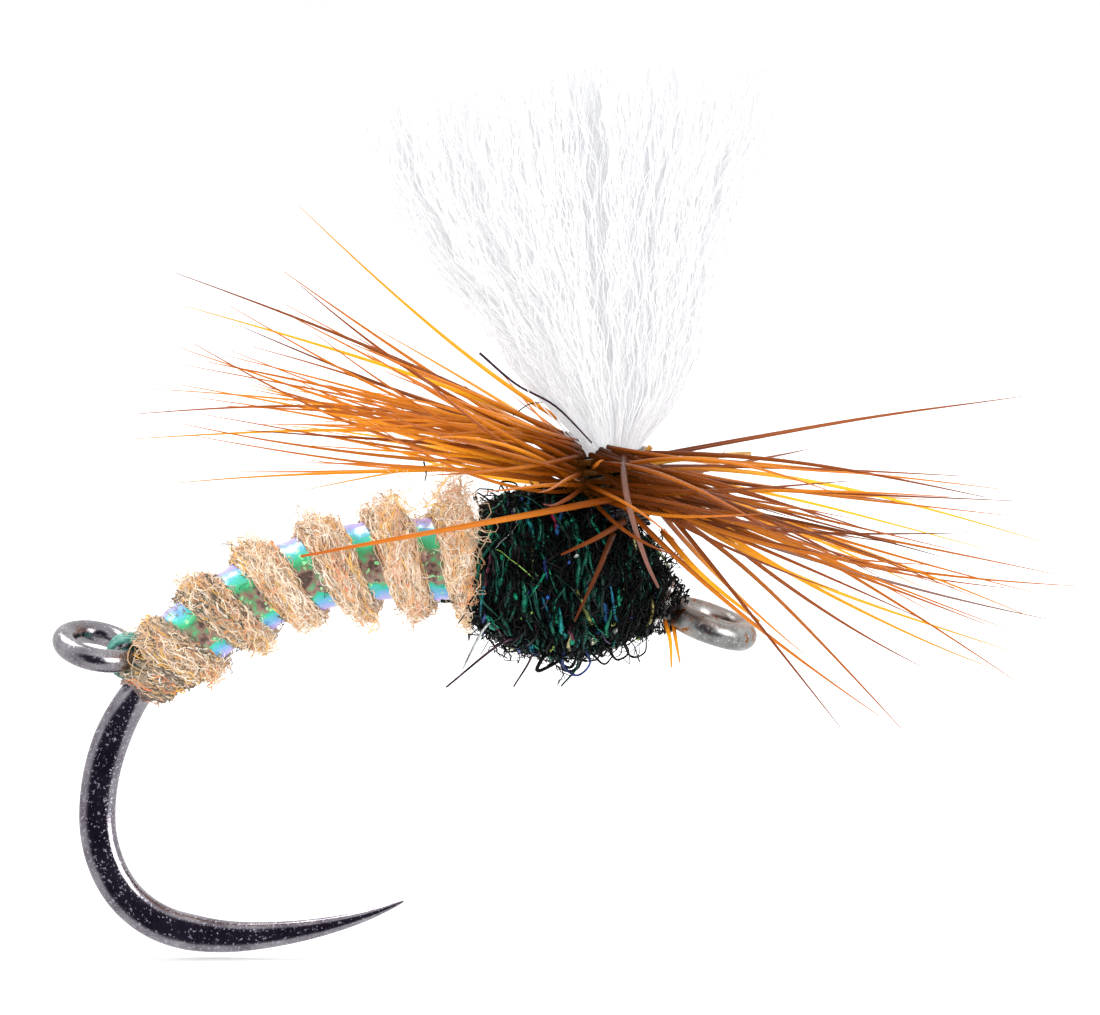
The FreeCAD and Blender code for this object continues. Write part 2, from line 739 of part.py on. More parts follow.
def make_head():
    """Whip-finish turns behind the eye, and the coat of cement over them."""
    back = shank_frame(size("head_front"))
    wraps = ring_body("head_thread", back, "sizes.head_r", "sizes.wire_r + sizes.layer_gap",
                      "sizes.head_rear - sizes.head_front")
    keep(wraps, "head_wraps")
    coat = ring_body("head_coat", back, "sizes.cement_r", "sizes.head_r + sizes.cement_gap",
                     "sizes.head_rear - sizes.head_front")
    keep(coat, "head_cement")


# ----------------------------------------------------------------------------- loose fibres

def curl(name, place, angle, lift, span, radius_cell, scale):
    """A curled fibre: part of a ring of wire that stands on the body."""
    foot = around(place, angle, lift)
    point, travel, outward = station(place)
    away = (foot - point).normalize()
    turn = FreeCAD.Rotation(away * -1, travel.cross(away) * -1, travel, "ZXY")
    centre = foot + away * size("loop_r") * scale
    fibre = primitive("Part::Torus", name, FreeCAD.Placement(centre, turn),
                      Radius1=f"{scale} * sizes.loop_r", Radius2=f"sizes.{radius_cell}")
    fibre.Angle3 = span
    return fibre


def make_loose_fibres():
    flash = []
    for number in range(8):
        place = size("flash_first") + size("flash_step") * number
        below = 196.0 - 9.0 * number
        curl_scale = 0.8 + 0.1 * (number % 3)
        flash.append(curl(f"flash_{number}", place, below, size("flash_lift"),
                          size("flash_span"), "flash_r", curl_scale))
    keep(group("flash", flash), "thorax_flash_fibres")
    hairs = []
    for number in range(7):
        place = size("hair_first") + size("hair_step") * number
        above = 20.0 - 12.0 * (number % 4)
        curl_scale = 0.9 + 0.15 * (number % 3)
        hairs.append(curl(f"hair_{number}", place, above, size("hair_lift"),
                          size("hair_span"), "hair_r", curl_scale))
    keep(group("hairs", hairs), "abdomen_guard_hairs")


# ------------------------------------------------------------------------- build and export

def check_document():
    """Stop if any object failed or any sub-part isn't a valid solid."""
    for thing in doc.Objects:
        if "Invalid" in thing.State or "Error" in thing.State:
            raise RuntimeError(f"{thing.Label} failed: {thing.State}")
    for part in PARTS:
        shape = part.Shape
        if shape.isNull() or not shape.isValid() or not shape.Solids:
            raise RuntimeError(f"{part.Label} is not a valid solid")


make_hook()
make_ring()
make_lashing()
make_shank_layers()
make_abdomen()
make_rib()
make_wing()
make_post_wraps()
make_quill()
make_barbs()
make_stub()
make_thorax()
make_head()
make_loose_fibres()
doc.recompute()
check_document()

os.makedirs("parts", exist_ok=True)
for part in PARTS:
    part.Shape.exportStep(f"parts/{part.Label}.step")
    box = part.Shape.optimalBoundingBox()
    print(f"{part.Label:22s} solids {len(part.Shape.Solids):3d} volume {part.Shape.Volume:8.4f} "
          f"X {box.XMin:7.2f} {box.XMax:6.2f}  Y {box.YMin:6.2f} {box.YMax:5.2f}  "
          f"Z {box.ZMin:6.2f} {box.ZMax:5.2f}")
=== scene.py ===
"""Looks of the parachute dry fly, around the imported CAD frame.

Lengths in this script are in millimetres until a mesh is made, where MM turns them into
metres. Fibres are meshes of thin tapered tubes, each group made from its own random seed.
"""

import math

import bpy
import numpy as np
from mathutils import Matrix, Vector


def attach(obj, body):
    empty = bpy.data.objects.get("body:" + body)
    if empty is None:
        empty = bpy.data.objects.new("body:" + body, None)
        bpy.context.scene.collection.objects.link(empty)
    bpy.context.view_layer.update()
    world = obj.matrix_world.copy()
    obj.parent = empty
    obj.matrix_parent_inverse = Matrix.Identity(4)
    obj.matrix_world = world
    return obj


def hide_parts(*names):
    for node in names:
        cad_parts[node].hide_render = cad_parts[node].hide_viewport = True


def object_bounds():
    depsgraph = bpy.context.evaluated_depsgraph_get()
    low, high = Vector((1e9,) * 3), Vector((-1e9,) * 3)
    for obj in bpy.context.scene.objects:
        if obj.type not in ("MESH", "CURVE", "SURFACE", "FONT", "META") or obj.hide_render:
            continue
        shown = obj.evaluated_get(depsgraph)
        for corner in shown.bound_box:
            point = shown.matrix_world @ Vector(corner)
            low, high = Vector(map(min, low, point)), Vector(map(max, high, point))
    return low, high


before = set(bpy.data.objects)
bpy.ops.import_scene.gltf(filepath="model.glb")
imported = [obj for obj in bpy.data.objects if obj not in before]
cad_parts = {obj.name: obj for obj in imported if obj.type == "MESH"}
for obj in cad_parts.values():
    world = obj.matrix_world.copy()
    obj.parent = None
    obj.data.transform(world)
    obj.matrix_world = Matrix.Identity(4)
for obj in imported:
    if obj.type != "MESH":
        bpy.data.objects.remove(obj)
CAD_LOW, CAD_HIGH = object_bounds()
MM = 0.001
TURN = 2 * math.pi

# ---- the hook's centre line

HOOK_ARCS = [
    # radius and turn in degrees of each arc, from the neck of the eye to the point
    (11.73, 22.0),
    (5.76, 48.0),
    (3.55, 42.0),
    (2.2, 25.4),
    (1.73, 50.6),
    (3.84, 16.4),
    (7.9, 12.0),
    (6.0, 10.0),
]
EYE_MEAN_R = 0.585
EYE_WIRE_R = 0.23
EYE_TILT = 20.0
EYE_ROLL = 6.0
NECK_HEADING = 158.0
WIRE_R = 0.265


def hook_line(step=0.01):
    """Distance, X, Z and heading along the hook's centre line, at small steps."""
    heading = math.radians(NECK_HEADING)
    x = EYE_MEAN_R * math.cos(heading)
    z = EYE_MEAN_R * math.sin(heading)
    rows = [(0.0, x, z, heading)]
    for radius, turn in HOOK_ARCS:
        count = int(radius * math.radians(turn) / step) + 1
        centre_x = x - math.sin(heading) * radius
        centre_z = z + math.cos(heading) * radius
        travelled = rows[-1][0]
        for number in range(1, count + 1):
            angle = heading + math.radians(turn) * number / count
            x = centre_x + math.sin(angle) * radius
            z = centre_z - math.cos(angle) * radius
            rows.append((travelled + radius * (angle - heading), x, z, angle))
        heading += math.radians(turn)
    return np.array(rows).T


LINE = hook_line()
HOOK_LENGTH = LINE[0][-1]


def station(place):
    """Points on the hook's line, run straight on before its start, and outward normals."""
    place = np.asarray(place, float)
    x, z, heading = (np.interp(place, LINE[0], row) for row in LINE[1:])
    before = np.minimum(place, 0.0)
    flat = np.zeros_like(x)
    travel = np.stack([np.cos(heading), flat, np.sin(heading)], -1)
    outward = np.stack([np.sin(heading), flat, -np.cos(heading)], -1)
    point = np.stack([x, flat, z], -1) + travel * before[..., None]
    return point, outward


def around(place, angle, radius):
    """Points off the hook's line. The angle runs from outward, over the -Y side, in degrees."""
    place, angle, radius = np.broadcast_arrays(place, angle, radius)
    point, outward = station(place)
    lean = np.radians(angle)[..., None]
    across = np.array([0.0, 1.0, 0.0])
    return point + radius[..., None] * (outward * np.cos(lean) - across * np.sin(lean))


# ---- mesh making

NEARLY_UPRIGHT = 0.9


def unit(vectors):
    length = np.linalg.norm(vectors, axis=-1, keepdims=True)
    return vectors / np.maximum(length, 1e-12)


def add_object(name, data):
    thing = bpy.data.objects.new(name, data)
    bpy.context.collection.objects.link(thing)
    return thing


def new_piece(name, corners, faces, material, nodes, body="fly", **fields):
    """A mesh in metres that rides on a body and stands for CAD nodes.

    Each further named array of point values becomes a float field of the mesh.
    """
    mesh = bpy.data.meshes.new(name)
    mesh.from_pydata(np.asarray(corners).reshape(-1, 3) * MM, [], faces)
    mesh.materials.append(material)
    for field, values in fields.items():
        layer = mesh.attributes.new(field, "FLOAT", "POINT")
        layer.data.foreach_set("value", np.asarray(values, np.float32).ravel())
    mesh.shade_smooth()
    mesh.update()
    thing = add_object(name, mesh)
    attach(thing, body)
    if nodes:
        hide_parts(*nodes)


def wall_quads(rows, sides):
    """Quads between the rows of one tube, where each row is a closed ring of corners."""
    ring = np.arange(sides)
    after = (ring + 1) % sides
    wall = np.stack([ring, after, after + sides, ring + sides], -1)
    steps = np.arange(rows - 1)[:, None, None] * sides
    return (wall[None] + steps).reshape(-1, 4)


def tube_faces(count, rows, sides):
    """Quads of many tubes with flat ends, for an even number of sides."""
    quads = [wall_quads(rows, sides)]
    last = (rows - 1) * sides
    for corner in range(0, sides - 2, 2):
        quads.append(np.array([[0, corner + 3, corner + 2, corner + 1]]) % sides)
        end = np.array([[0, corner + 1, corner + 2, corner + 3]]) % sides
        quads.append(end + last)
    one = np.concatenate(quads)
    shift = np.arange(count)[:, None, None] * rows * sides
    return (one[None] + shift).reshape(-1, 4)


def tubes(name, paths, radii, material, tone, *nodes, sides=4, flat=1.0):
    """Tubes along paths (number, rows, 3) with radii (number, rows). flat squashes them."""
    paths = np.asarray(paths, float)
    count, rows, _ = paths.shape
    radii = np.broadcast_to(np.asarray(radii, float), (count, rows))
    travel = unit(np.gradient(paths, axis=1))
    side = np.zeros_like(paths)
    steep = np.abs(travel[:, :1, 2:]) >= NEARLY_UPRIGHT
    start = np.where(steep, [[[0.0, 1.0, 0.0]]], [[[0.0, 0.0, 1.0]]])
    held = unit(np.cross(travel[:, 0], start[:, 0]))
    for row in range(rows):
        held = unit(held - travel[:, row] * np.sum(held * travel[:, row], -1, keepdims=True))
        side[:, row] = held
    up = np.cross(travel, side)
    angle = TURN * np.arange(sides)[:, None] / sides
    rim = np.cos(angle) * side[:, :, None] + np.sin(angle) * up[:, :, None] * flat
    corners = paths[:, :, None] + rim * radii[:, :, None, None]
    shape = (count, rows, sides)
    tone = np.broadcast_to(np.asarray(tone, float)[:, None, None], shape)
    along = np.broadcast_to(np.linspace(0, 1, rows)[None, :, None], shape)
    new_piece(name, corners, tube_faces(*shape), material, nodes, tone=tone, along=along)


def ring_angles(count):
    """One row of even angles round a ring, in degrees."""
    return np.linspace(0.0, 360.0, count + 1)[None, :-1]


def skin(name, grid, material, *nodes, closed_ends=True, body="fly", **fields):
    """A surface through a grid of points (rows, corners, 3) whose rows are closed rings."""
    rows, corners, _ = grid.shape
    faces = wall_quads(rows, corners).tolist()
    if closed_ends:
        faces.append(list(range(corners))[::-1])
        faces.append([(rows - 1) * corners + corner for corner in range(corners)])
    new_piece(name, grid, faces, material, nodes, body, **fields)


# ---- paint helper

class Paint:
    """A small helper that builds one node material around a Principled shader."""

    def __init__(self, name, **sockets):
        self.material = bpy.data.materials.new(name)
        self.material.use_nodes = True
        self.nodes = self.material.node_tree.nodes
        self.links = self.material.node_tree.links
        self.shader = self.nodes["Principled BSDF"]
        for socket, value in sockets.items():
            self.shader.inputs[socket.replace("_", " ")].default_value = value

    def node(self, kind, **values):
        made = self.nodes.new("ShaderNode" + kind)
        for name, value in values.items():
            setattr(made, name, value)
        return made

    def feed(self, value, socket):
        """Set a socket from another node's socket, a colour or a number."""
        if isinstance(value, bpy.types.NodeSocket):
            self.links.new(value, socket)
        elif isinstance(value, tuple):
            socket.default_value = (*value, 1.0)
        else:
            socket.default_value = value

    def noise(self, scale, detail=3.0, rough=0.55, stretch=None):
        """Noise in the object's own space. scale is features per millimetre."""
        source = self.node("TexCoord").outputs["Object"]
        if stretch is not None:
            mapping = self.node("Mapping")
            mapping.inputs["Scale"].default_value = stretch
            self.feed(source, mapping.inputs["Vector"])
            source = mapping.outputs["Vector"]
        texture = self.node("TexNoise")
        self.feed(scale / MM, texture.inputs["Scale"])
        self.feed(detail, texture.inputs["Detail"])
        self.feed(rough, texture.inputs["Roughness"])
        self.feed(source, texture.inputs["Vector"])
        return texture.outputs["Fac"]

    def field(self, name):
        """A point value of the mesh, such as tone or along."""
        return self.node("Attribute", attribute_name=name).outputs["Fac"]

    def ramp(self, factor, *stops):
        """Colours by a factor. Each stop is a place from 0 to 1 and a colour."""
        made = self.node("ValToRGB")
        elements = made.color_ramp.elements
        while len(elements) < len(stops):
            elements.new(0.5)
        for element, (place, colour) in zip(elements, stops):
            element.position = place
            element.color = (*colour, 1.0)
        self.feed(factor, made.inputs["Fac"])
        return made.outputs["Color"]

    def mask(self, factor, low, high):
        """Black up to one value of a factor and white from another."""
        return self.ramp(factor, (low, (0, 0, 0)), (high, (1, 1, 1)))

    def mix(self, factor, first, second, blend="MIX"):
        """Mix two colours, each a socket or a plain colour. factor is a socket or a number."""
        made = self.node("Mix", data_type="RGBA", blend_type=blend)
        self.feed(factor, made.inputs[0])
        self.feed(first, made.inputs[6])
        self.feed(second, made.inputs[7])
        return made.outputs[2]

    def sums(self, operation, first, second):
        """Arithmetic on two values, each a socket or a number."""
        made = self.node("Math", operation=operation)
        self.feed(first, made.inputs[0])
        self.feed(second, made.inputs[1])
        return made.outputs[0]

    def colour(self, socket):
        self.feed(socket, self.shader.inputs["Base Color"])

    def roughness(self, factor, low, high):
        """Roughness between two values by a factor."""
        made = self.node("MapRange")
        self.feed(low, made.inputs["To Min"])
        self.feed(high, made.inputs["To Max"])
        self.feed(factor, made.inputs["Value"])
        self.feed(made.outputs["Result"], self.shader.inputs["Roughness"])

    def bump(self, height, depth, strength=1.0):
        """Bump of a depth in millimetres."""
        made = self.node("Bump")
        self.feed(strength, made.inputs["Strength"])
        self.feed(depth * MM, made.inputs["Distance"])
        self.feed(height, made.inputs["Height"])
        self.feed(made.outputs["Normal"], self.shader.inputs["Normal"])


# ---- materials

def black_nickel(name, dark, light, painted_glint, smooth, matte, flecks=None):
    """Polished black nickel: cloudy tone, and fine pits that scatter the light, with painted
    glints.
    """
    paint = Paint(name, Metallic=1.0, Specular_IOR_Level=0.6)
    clouds = paint.noise(2.2, 4.0)
    pits = paint.noise(20.0, 2.0, 0.7)
    glinting_pits = paint.mask(pits, 0.57, 0.67)
    # The pits are painted a lighter colour: painted glints. Their roughness and bump are real.
    tone = paint.mix(glinting_pits, paint.ramp(clouds, (0.3, dark), (0.72, light)), painted_glint)
    if flecks is not None:
        spots = paint.mask(paint.noise(6.0, 3.0), 0.6, 0.63)
        tone = paint.mix(spots, tone, flecks)
    paint.colour(tone)
    smear = paint.sums("MULTIPLY", paint.noise(9.0, 3.0), 0.3)
    paint.roughness(paint.sums("MAXIMUM", glinting_pits, smear), smooth, matte)
    paint.bump(paint.sums("ADD", pits, clouds), 0.004, 0.5)
    return paint.material


def fibre_paint(name, *stops, along=None, rough=0.45, shade=0.35, **sockets):
    """A fibre's colour by its tone, darker and lighter in patches, and by its length if given."""
    paint = Paint(name, **sockets)
    blotch = paint.noise(6.0, 2.0)
    colour = paint.ramp(paint.field("tone"), *stops)
    if along is not None:
        colour = paint.mix(1.0, colour, paint.ramp(paint.field("along"), *along), "MULTIPLY")
    low = 1.0 - shade
    patches = paint.ramp(blotch, (0.35, (low, low, low)), (0.65, (1.0, 1.0, 1.0)))
    paint.colour(paint.mix(1.0, colour, patches, "MULTIPLY"))
    paint.roughness(blotch, rough * 0.7, min(1.0, rough * 1.3))
    return paint.material


def thread_paint(name, deep, bright, gloss=0.3):
    """Waxed tying thread: fine filaments along each turn."""
    paint = Paint(name, Coat_Weight=gloss, Coat_Roughness=0.12)
    strands = paint.noise(40.0, 2.0, 0.6, stretch=(0.35, 1.0, 1.0))
    paint.colour(paint.ramp(strands, (0.35, deep), (0.68, bright)))
    paint.roughness(strands, 0.3, 0.6)
    paint.bump(strands, 0.006, 0.7)
    return paint.material


def felt_paint(name, deep, middle, pale, rough=0.9, **sockets):
    """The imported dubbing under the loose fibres."""
    paint = Paint(name, **sockets)
    wool = paint.noise(14.0, 5.0, 0.7)
    clouds = paint.noise(3.0, 2.0)
    tone = paint.sums("ADD", paint.sums("MULTIPLY", wool, 0.7),
                      paint.sums("MULTIPLY", clouds, 0.3))
    paint.colour(paint.ramp(tone, (0.36, deep), (0.52, middle), (0.66, pale)))
    paint.roughness(wool, rough * 0.8, rough)
    paint.bump(wool, 0.05, 0.8)
    return paint.material


# The third colour of each metal is its painted glint on the pits.
HOOK_METAL = black_nickel("black_nickel", (0.12, 0.102, 0.128), (0.33, 0.312, 0.338),
                          (0.5, 0.485, 0.58), 0.07, 0.6)
EYE_METAL = black_nickel("eye_nickel", (0.18, 0.18, 0.18), (0.48, 0.48, 0.47),
                         (0.56, 0.56, 0.55), 0.26, 0.6, (0.28, 0.09, 0.015))
RING_METAL = black_nickel("ring_nickel", (0.15, 0.135, 0.155), (0.39, 0.375, 0.395),
                          (0.42, 0.4, 0.45), 0.13, 0.4)
TEAL_THREAD = thread_paint("teal_thread", (0.03, 0.15, 0.125), (0.15, 0.42, 0.35))
BLACK_THREAD = thread_paint("black_thread", (0.006, 0.005, 0.006), (0.035, 0.026, 0.025), 0.1)
VARNISH = felt_paint("varnish", (0.016, 0.005, 0.004), (0.08, 0.02, 0.01), (0.48, 0.16, 0.045),
                     0.25, Coat_Weight=0.8, Coat_Roughness=0.08, Transmission_Weight=0.25)
# The tan felt is its own colour darkened as painted shade, seen in the gaps between the fibres.
TAN_FELT = felt_paint("tan_felt", (0.16, 0.085, 0.045), (0.38, 0.23, 0.13), (0.6, 0.42, 0.27))
DARK_FELT = felt_paint("dark_felt", (0.001, 0.001, 0.002), (0.004, 0.004, 0.005),
                       (0.012, 0.012, 0.016))
# Its faint warm emission is painted light, a glow that brightens the fur.
FUR = fibre_paint("tan_fur", (0.0, (0.03, 0.024, 0.022)), (0.05, (0.035, 0.09, 0.07)),
                  (0.09, (0.11, 0.105, 0.06)), (0.13, (0.29, 0.235, 0.19)),
                  (0.22, (0.48, 0.39, 0.3)), (0.3, (0.64, 0.4, 0.225)),
                  (0.42, (0.85, 0.61, 0.39)), (0.7, (0.97, 0.84, 0.67)),
                  (0.9, (0.99, 0.96, 0.89)), (0.93, (0.86, 0.28, 0.11)),
                  (0.965, (0.98, 0.58, 0.1)), (1.0, (0.94, 0.74, 0.2)),
                  rough=0.5, shade=0.15, Transmission_Weight=0.4, IOR=1.25,
                  Emission_Strength=0.09, Emission_Color=(1.0, 0.8, 0.6, 1.0))
HAIR = fibre_paint("guard_hair", (0.0, (0.02, 0.016, 0.018)), (0.5, (0.11, 0.075, 0.055)),
                   (1.0, (0.42, 0.3, 0.19)), rough=0.35, Transmission_Weight=0.15)
PEACOCK = fibre_paint("peacock_fibre", (0.0, (0.001, 0.001, 0.001)), (0.5, (0.001, 0.002, 0.002)),
                      (0.75, (0.002, 0.006, 0.006)), (0.9, (0.004, 0.005, 0.006)),
                      (0.96, (0.014, 0.006, 0.008)), (1.0, (0.03, 0.026, 0.03)), rough=0.4,
                      Specular_IOR_Level=0.1)
# Its deep dark patches (shade=0.75) are painted shade, so that the flash shows bright only here
# and there.
FLASH = fibre_paint("flash_fibre", (0.0, (0.003, 0.003, 0.004)), (0.06, (0.004, 0.024, 0.02)),
                    (0.12, (0.004, 0.075, 0.055)), (0.3, (0.005, 0.18, 0.11)),
                    (0.5, (0.008, 0.42, 0.22)), (0.6, (0.008, 0.23, 0.26)),
                    (0.7, (0.03, 0.12, 0.52)), (0.76, (0.075, 0.035, 0.06)),
                    (0.84, (0.48, 0.03, 0.1)), (0.9, (0.26, 0.68, 0.12)),
                    (0.95, (0.8, 0.7, 0.2)), (1.0, (0.56, 0.62, 0.6)),
                    rough=0.22, shade=0.75, Metallic=0.5)
# Its white emission is painted light, standing in for light scattered on between the fibres.
YARN = fibre_paint("wing_yarn", (0.0, (0.84, 0.845, 0.86)), (0.5, (0.9, 0.9, 0.91)),
                   (1.0, (0.94, 0.94, 0.945)), rough=0.35, shade=0.04,
                   Transmission_Weight=0.62, IOR=1.15, Emission_Strength=0.11,
                   Emission_Color=(0.99, 0.99, 1.0, 1.0))
# Its amber emission is painted light, a glow standing in for light shining through the barbs.
BARB = fibre_paint("hackle_fibre", (0.0, (0.08, 0.018, 0.005)), (0.3, (0.25, 0.06, 0.007)),
                   (0.55, (0.54, 0.165, 0.009)), (0.8, (0.83, 0.32, 0.011)),
                   (0.92, (0.94, 0.45, 0.013)), (1.0, (0.19, 0.1, 0.078)),
                   along=[(0.0, (0.18, 0.1, 0.09)), (0.14, (0.42, 0.27, 0.25)),
                          (0.42, (1.0, 1.0, 1.0)), (0.78, (0.95, 0.82, 0.82)),
                          (1.0, (0.72, 0.52, 0.5))],
                   rough=0.3, shade=0.06, Specular_IOR_Level=0.15,
                   Emission_Strength=0.025, Emission_Color=(0.9, 0.28, 0.02, 1.0))
QUILL = fibre_paint("hackle_stem", (0.0, (0.16, 0.05, 0.014)), (1.0, (0.86, 0.4, 0.04)),
                    rough=0.35, Coat_Weight=0.3, Transmission_Weight=0.15)


def clear_paint(name, tint, rough):
    """A clear brittle film with a slightly wavy face."""
    paint = Paint(name, Transmission_Weight=1.0, IOR=1.45)
    waves = paint.noise(4.0, 2.0)
    paint.colour(paint.ramp(waves, (0.3, tint), (0.7, (1.0, 0.99, 0.96))))
    paint.roughness(waves, rough * 0.5, rough)
    paint.bump(waves, 0.01, 0.4)
    return paint.material


def pearl_paint():
    """Pearl tinsel, with painted reflection: lavender through cyan and green as it turns away."""
    paint = Paint("pearl_tinsel", Metallic=0.25, Coat_Weight=0.35, Coat_Roughness=0.05,
                  Transmission_Weight=0.2, IOR=1.5, Specular_IOR_Level=0.3)
    streaks = paint.noise(5.0, 3.0, 0.6, stretch=(1.0, 1.0, 0.4))
    shift = paint.sums("MULTIPLY", paint.sums("SUBTRACT", streaks, 0.5), 0.16)
    sweep = paint.sums("ADD", paint.field("sweep"), shift)
    # The middle band is painted brown, as the dubbing seen through the film.
    painted_see_through = paint.ramp(paint.noise(7.0, 3.0), (0.38, (0.14, 0.095, 0.075)),
                             (0.48, (0.4, 0.235, 0.2)), (0.56, (0.27, 0.33, 0.18)),
                             (0.64, (0.15, 0.56, 0.26)))
    # Painted reflection: the film's colours as seen from the front, by the strip's angle round
    # each turn.
    face = paint.ramp(sweep, (0.1, (0.5, 0.42, 0.92)), (0.2, (0.26, 0.52, 0.88)),
                      (0.28, (0.08, 0.62, 0.54)), (0.35, (0.06, 0.56, 0.24)),
                      (0.42, (0.04, 0.32, 0.13)), (0.66, (0.05, 0.38, 0.16)),
                      (0.7, (0.04, 0.64, 0.44)), (0.78, (0.18, 0.52, 0.88)),
                      (0.9, (0.5, 0.38, 0.92)))
    middle = paint.ramp(sweep, (0.38, (0, 0, 0)), (0.44, (1, 1, 1)), (0.66, (1, 1, 1)),
                        (0.69, (0, 0, 0)))
    # Painted glints: small bright green spots.
    glint = paint.mask(paint.noise(8.0, 2.0, 0.6), 0.62, 0.66)
    face = paint.mix(middle, face, painted_see_through)
    paint.colour(paint.mix(glint, face, (0.4, 0.95, 0.42)))
    paint.roughness(streaks, 0.1, 0.3)
    paint.bump(streaks, 0.012, 0.4)
    return paint.material


PEARL = pearl_paint()
CEMENT = clear_paint("clear_cement", (0.6, 0.5, 0.42), 0.08)

# ---- fibre helpers

def shares(rows):
    """One row of shares of a fibre's length, from 0 at its root to 1 at its tip."""
    return np.linspace(0.0, 1.0, rows)[None]


def draw(rng, count, *ranges):
    """A column of even random numbers for each range, in the order given."""
    return [rng.uniform(low, high, (count, 1)) for low, high in ranges]


def wander(rng, paths, amount, waves=2.0):
    """Smooth random offsets for paths (count, rows, 3) that start at nothing at each root."""
    count, rows, _ = paths.shape
    travelled = shares(rows)[..., None]
    total = np.zeros(paths.shape)
    for share in (1.0, 0.55, 0.3):
        rate = waves * rng.uniform(0.6, 1.4, (count, 1, 3)) / share
        phase = rng.uniform(0.0, TURN, (count, 1, 3))
        height = rng.uniform(0.4, 1.0, (count, 1, 3)) * share
        total += height * (np.sin(TURN * rate * travelled + phase) - np.sin(phase))
    return total * amount


def taper(paths, thick, tip=0.35):
    """Radii (count, rows) for paths, thinning towards the tip."""
    count, rows = paths.shape[:2]
    thick = np.broadcast_to(np.asarray(thick, float), (count,))[:, None]
    return thick * (1.0 + (tip - 1.0) * shares(rows) ** 1.5)


def smooth_path(corners, rows):
    """Points spread evenly along a soft curve through a few corners (Catmull-Rom)."""
    corners = np.asarray(corners, float)
    padded = np.concatenate([2 * corners[:1] - corners[1:2], corners,
                             2 * corners[-1:] - corners[-2:-1]])
    spread = np.linspace(0.0, len(corners) - 1.0, rows)
    span = np.minimum(spread.astype(int), len(corners) - 2)
    t = (spread - span)[:, None]
    before, first, second, after = (padded[span + shift] for shift in range(4))
    slope_in = (second - before) / 2
    slope_out = (after - first) / 2
    return ((2 * t ** 3 - 3 * t ** 2 + 1) * first + (t ** 3 - 2 * t ** 2 + t) * slope_in
            + (3 * t ** 2 - 2 * t ** 3) * second + (t ** 3 - t ** 2) * slope_out)


# ---- hook

HOOK_START = -0.05
WIRE_RIM = 64
RING_STEPS = 144
RING_RIM = 40
NECK_R = 0.222
FORGE_START = 9.55
FORGE_FULL = 10.7
FORGED_HALF_DEPTH = 0.305
FORGED_HALF_WIDTH = 0.225
TAPER_START = 14.6
POINT_R = 0.015


def forging(place):
    """Half depth, half width and squareness of the wire at distances along the hook."""
    round_r = NECK_R + (WIRE_R - NECK_R) * np.clip(place / 0.35, 0.0, 1.0)
    forged = np.clip((place - FORGE_START) / (FORGE_FULL - FORGE_START), 0.0, 1.0)
    forged = forged * forged * (3 - 2 * forged)
    depth = round_r + (FORGED_HALF_DEPTH - round_r) * forged
    width = round_r + (FORGED_HALF_WIDTH - round_r) * forged
    left = np.clip((HOOK_LENGTH - place) / (HOOK_LENGTH - TAPER_START), 0.0, 1.0)
    depth = POINT_R + (depth - POINT_R) * left ** 0.8
    width = POINT_R + (width - POINT_R) * left ** 0.6
    return depth, width, 2.0 + 0.8 * forged * left


def rotation(tilt, roll):
    """Rows are the axes of a frame turned by tilt about Y and then roll about its own X."""
    a = math.radians(tilt)
    b = math.radians(roll)
    about_y = np.array([[math.cos(a), 0, math.sin(a)], [0, 1, 0], [-math.sin(a), 0, math.cos(a)]])
    about_x = np.array([[1, 0, 0], [0, math.cos(b), -math.sin(b)], [0, math.sin(b), math.cos(b)]])
    return (about_y @ about_x).T


def torus(name, centre, axes, mean_r, wire_r, material, *nodes, body="fly"):
    """A ring of round wire in a frame whose Z is the ring's axis."""
    turned = np.linspace(0.0, TURN, RING_STEPS + 1)[:, None]
    rim = np.linspace(0.0, TURN, RING_RIM + 1)[None, :-1]
    reach = mean_r + wire_r * np.cos(rim)
    height = np.broadcast_to(wire_r * np.sin(rim), (RING_STEPS + 1, RING_RIM))
    local = np.stack([np.cos(turned) * reach, np.sin(turned) * reach, height], -1)
    skin(name, centre + local @ axes, material, *nodes, closed_ends=False, body=body)


def make_hook():
    places = np.concatenate([np.linspace(HOOK_START, TAPER_START, 420),
                             np.linspace(TAPER_START, HOOK_LENGTH, 110)[1:]])
    depth, width, squareness = (part[:, None] for part in forging(places))
    angle = np.linspace(0.0, TURN, WIRE_RIM + 1)[None, :-1]
    c = np.cos(angle)
    s = np.sin(angle)
    along = np.sign(c) * np.abs(c) ** (2 / squareness) * depth
    across = np.sign(s) * np.abs(s) ** (2 / squareness) * width
    point, outward = station(places)
    grid = point[:, None] + outward[:, None] * along[..., None]
    grid = grid + np.array([0.0, 1.0, 0.0]) * across[..., None]
    skin("hook_wire", grid, HOOK_METAL, "hook")
    eye_axes = rotation(EYE_TILT, EYE_ROLL)
    torus("hook_eye", np.zeros(3), eye_axes, EYE_MEAN_R, EYE_WIRE_R, EYE_METAL)


make_hook()

# ---- dropper ring and lashing

RING_MEAN_R = 0.555
RING_WIRE_R = 0.195
RING_PLACE = 9.33
RING_GAP = 0.035
RING_AXES = rotation(12.7, 18.0)
RING_SWING = (-40.0, 25.0)
RING_ROOM = 0.07
HOLD = station(RING_PLACE)[0] + station(RING_PLACE)[1] * (WIRE_R + RING_WIRE_R + RING_GAP)


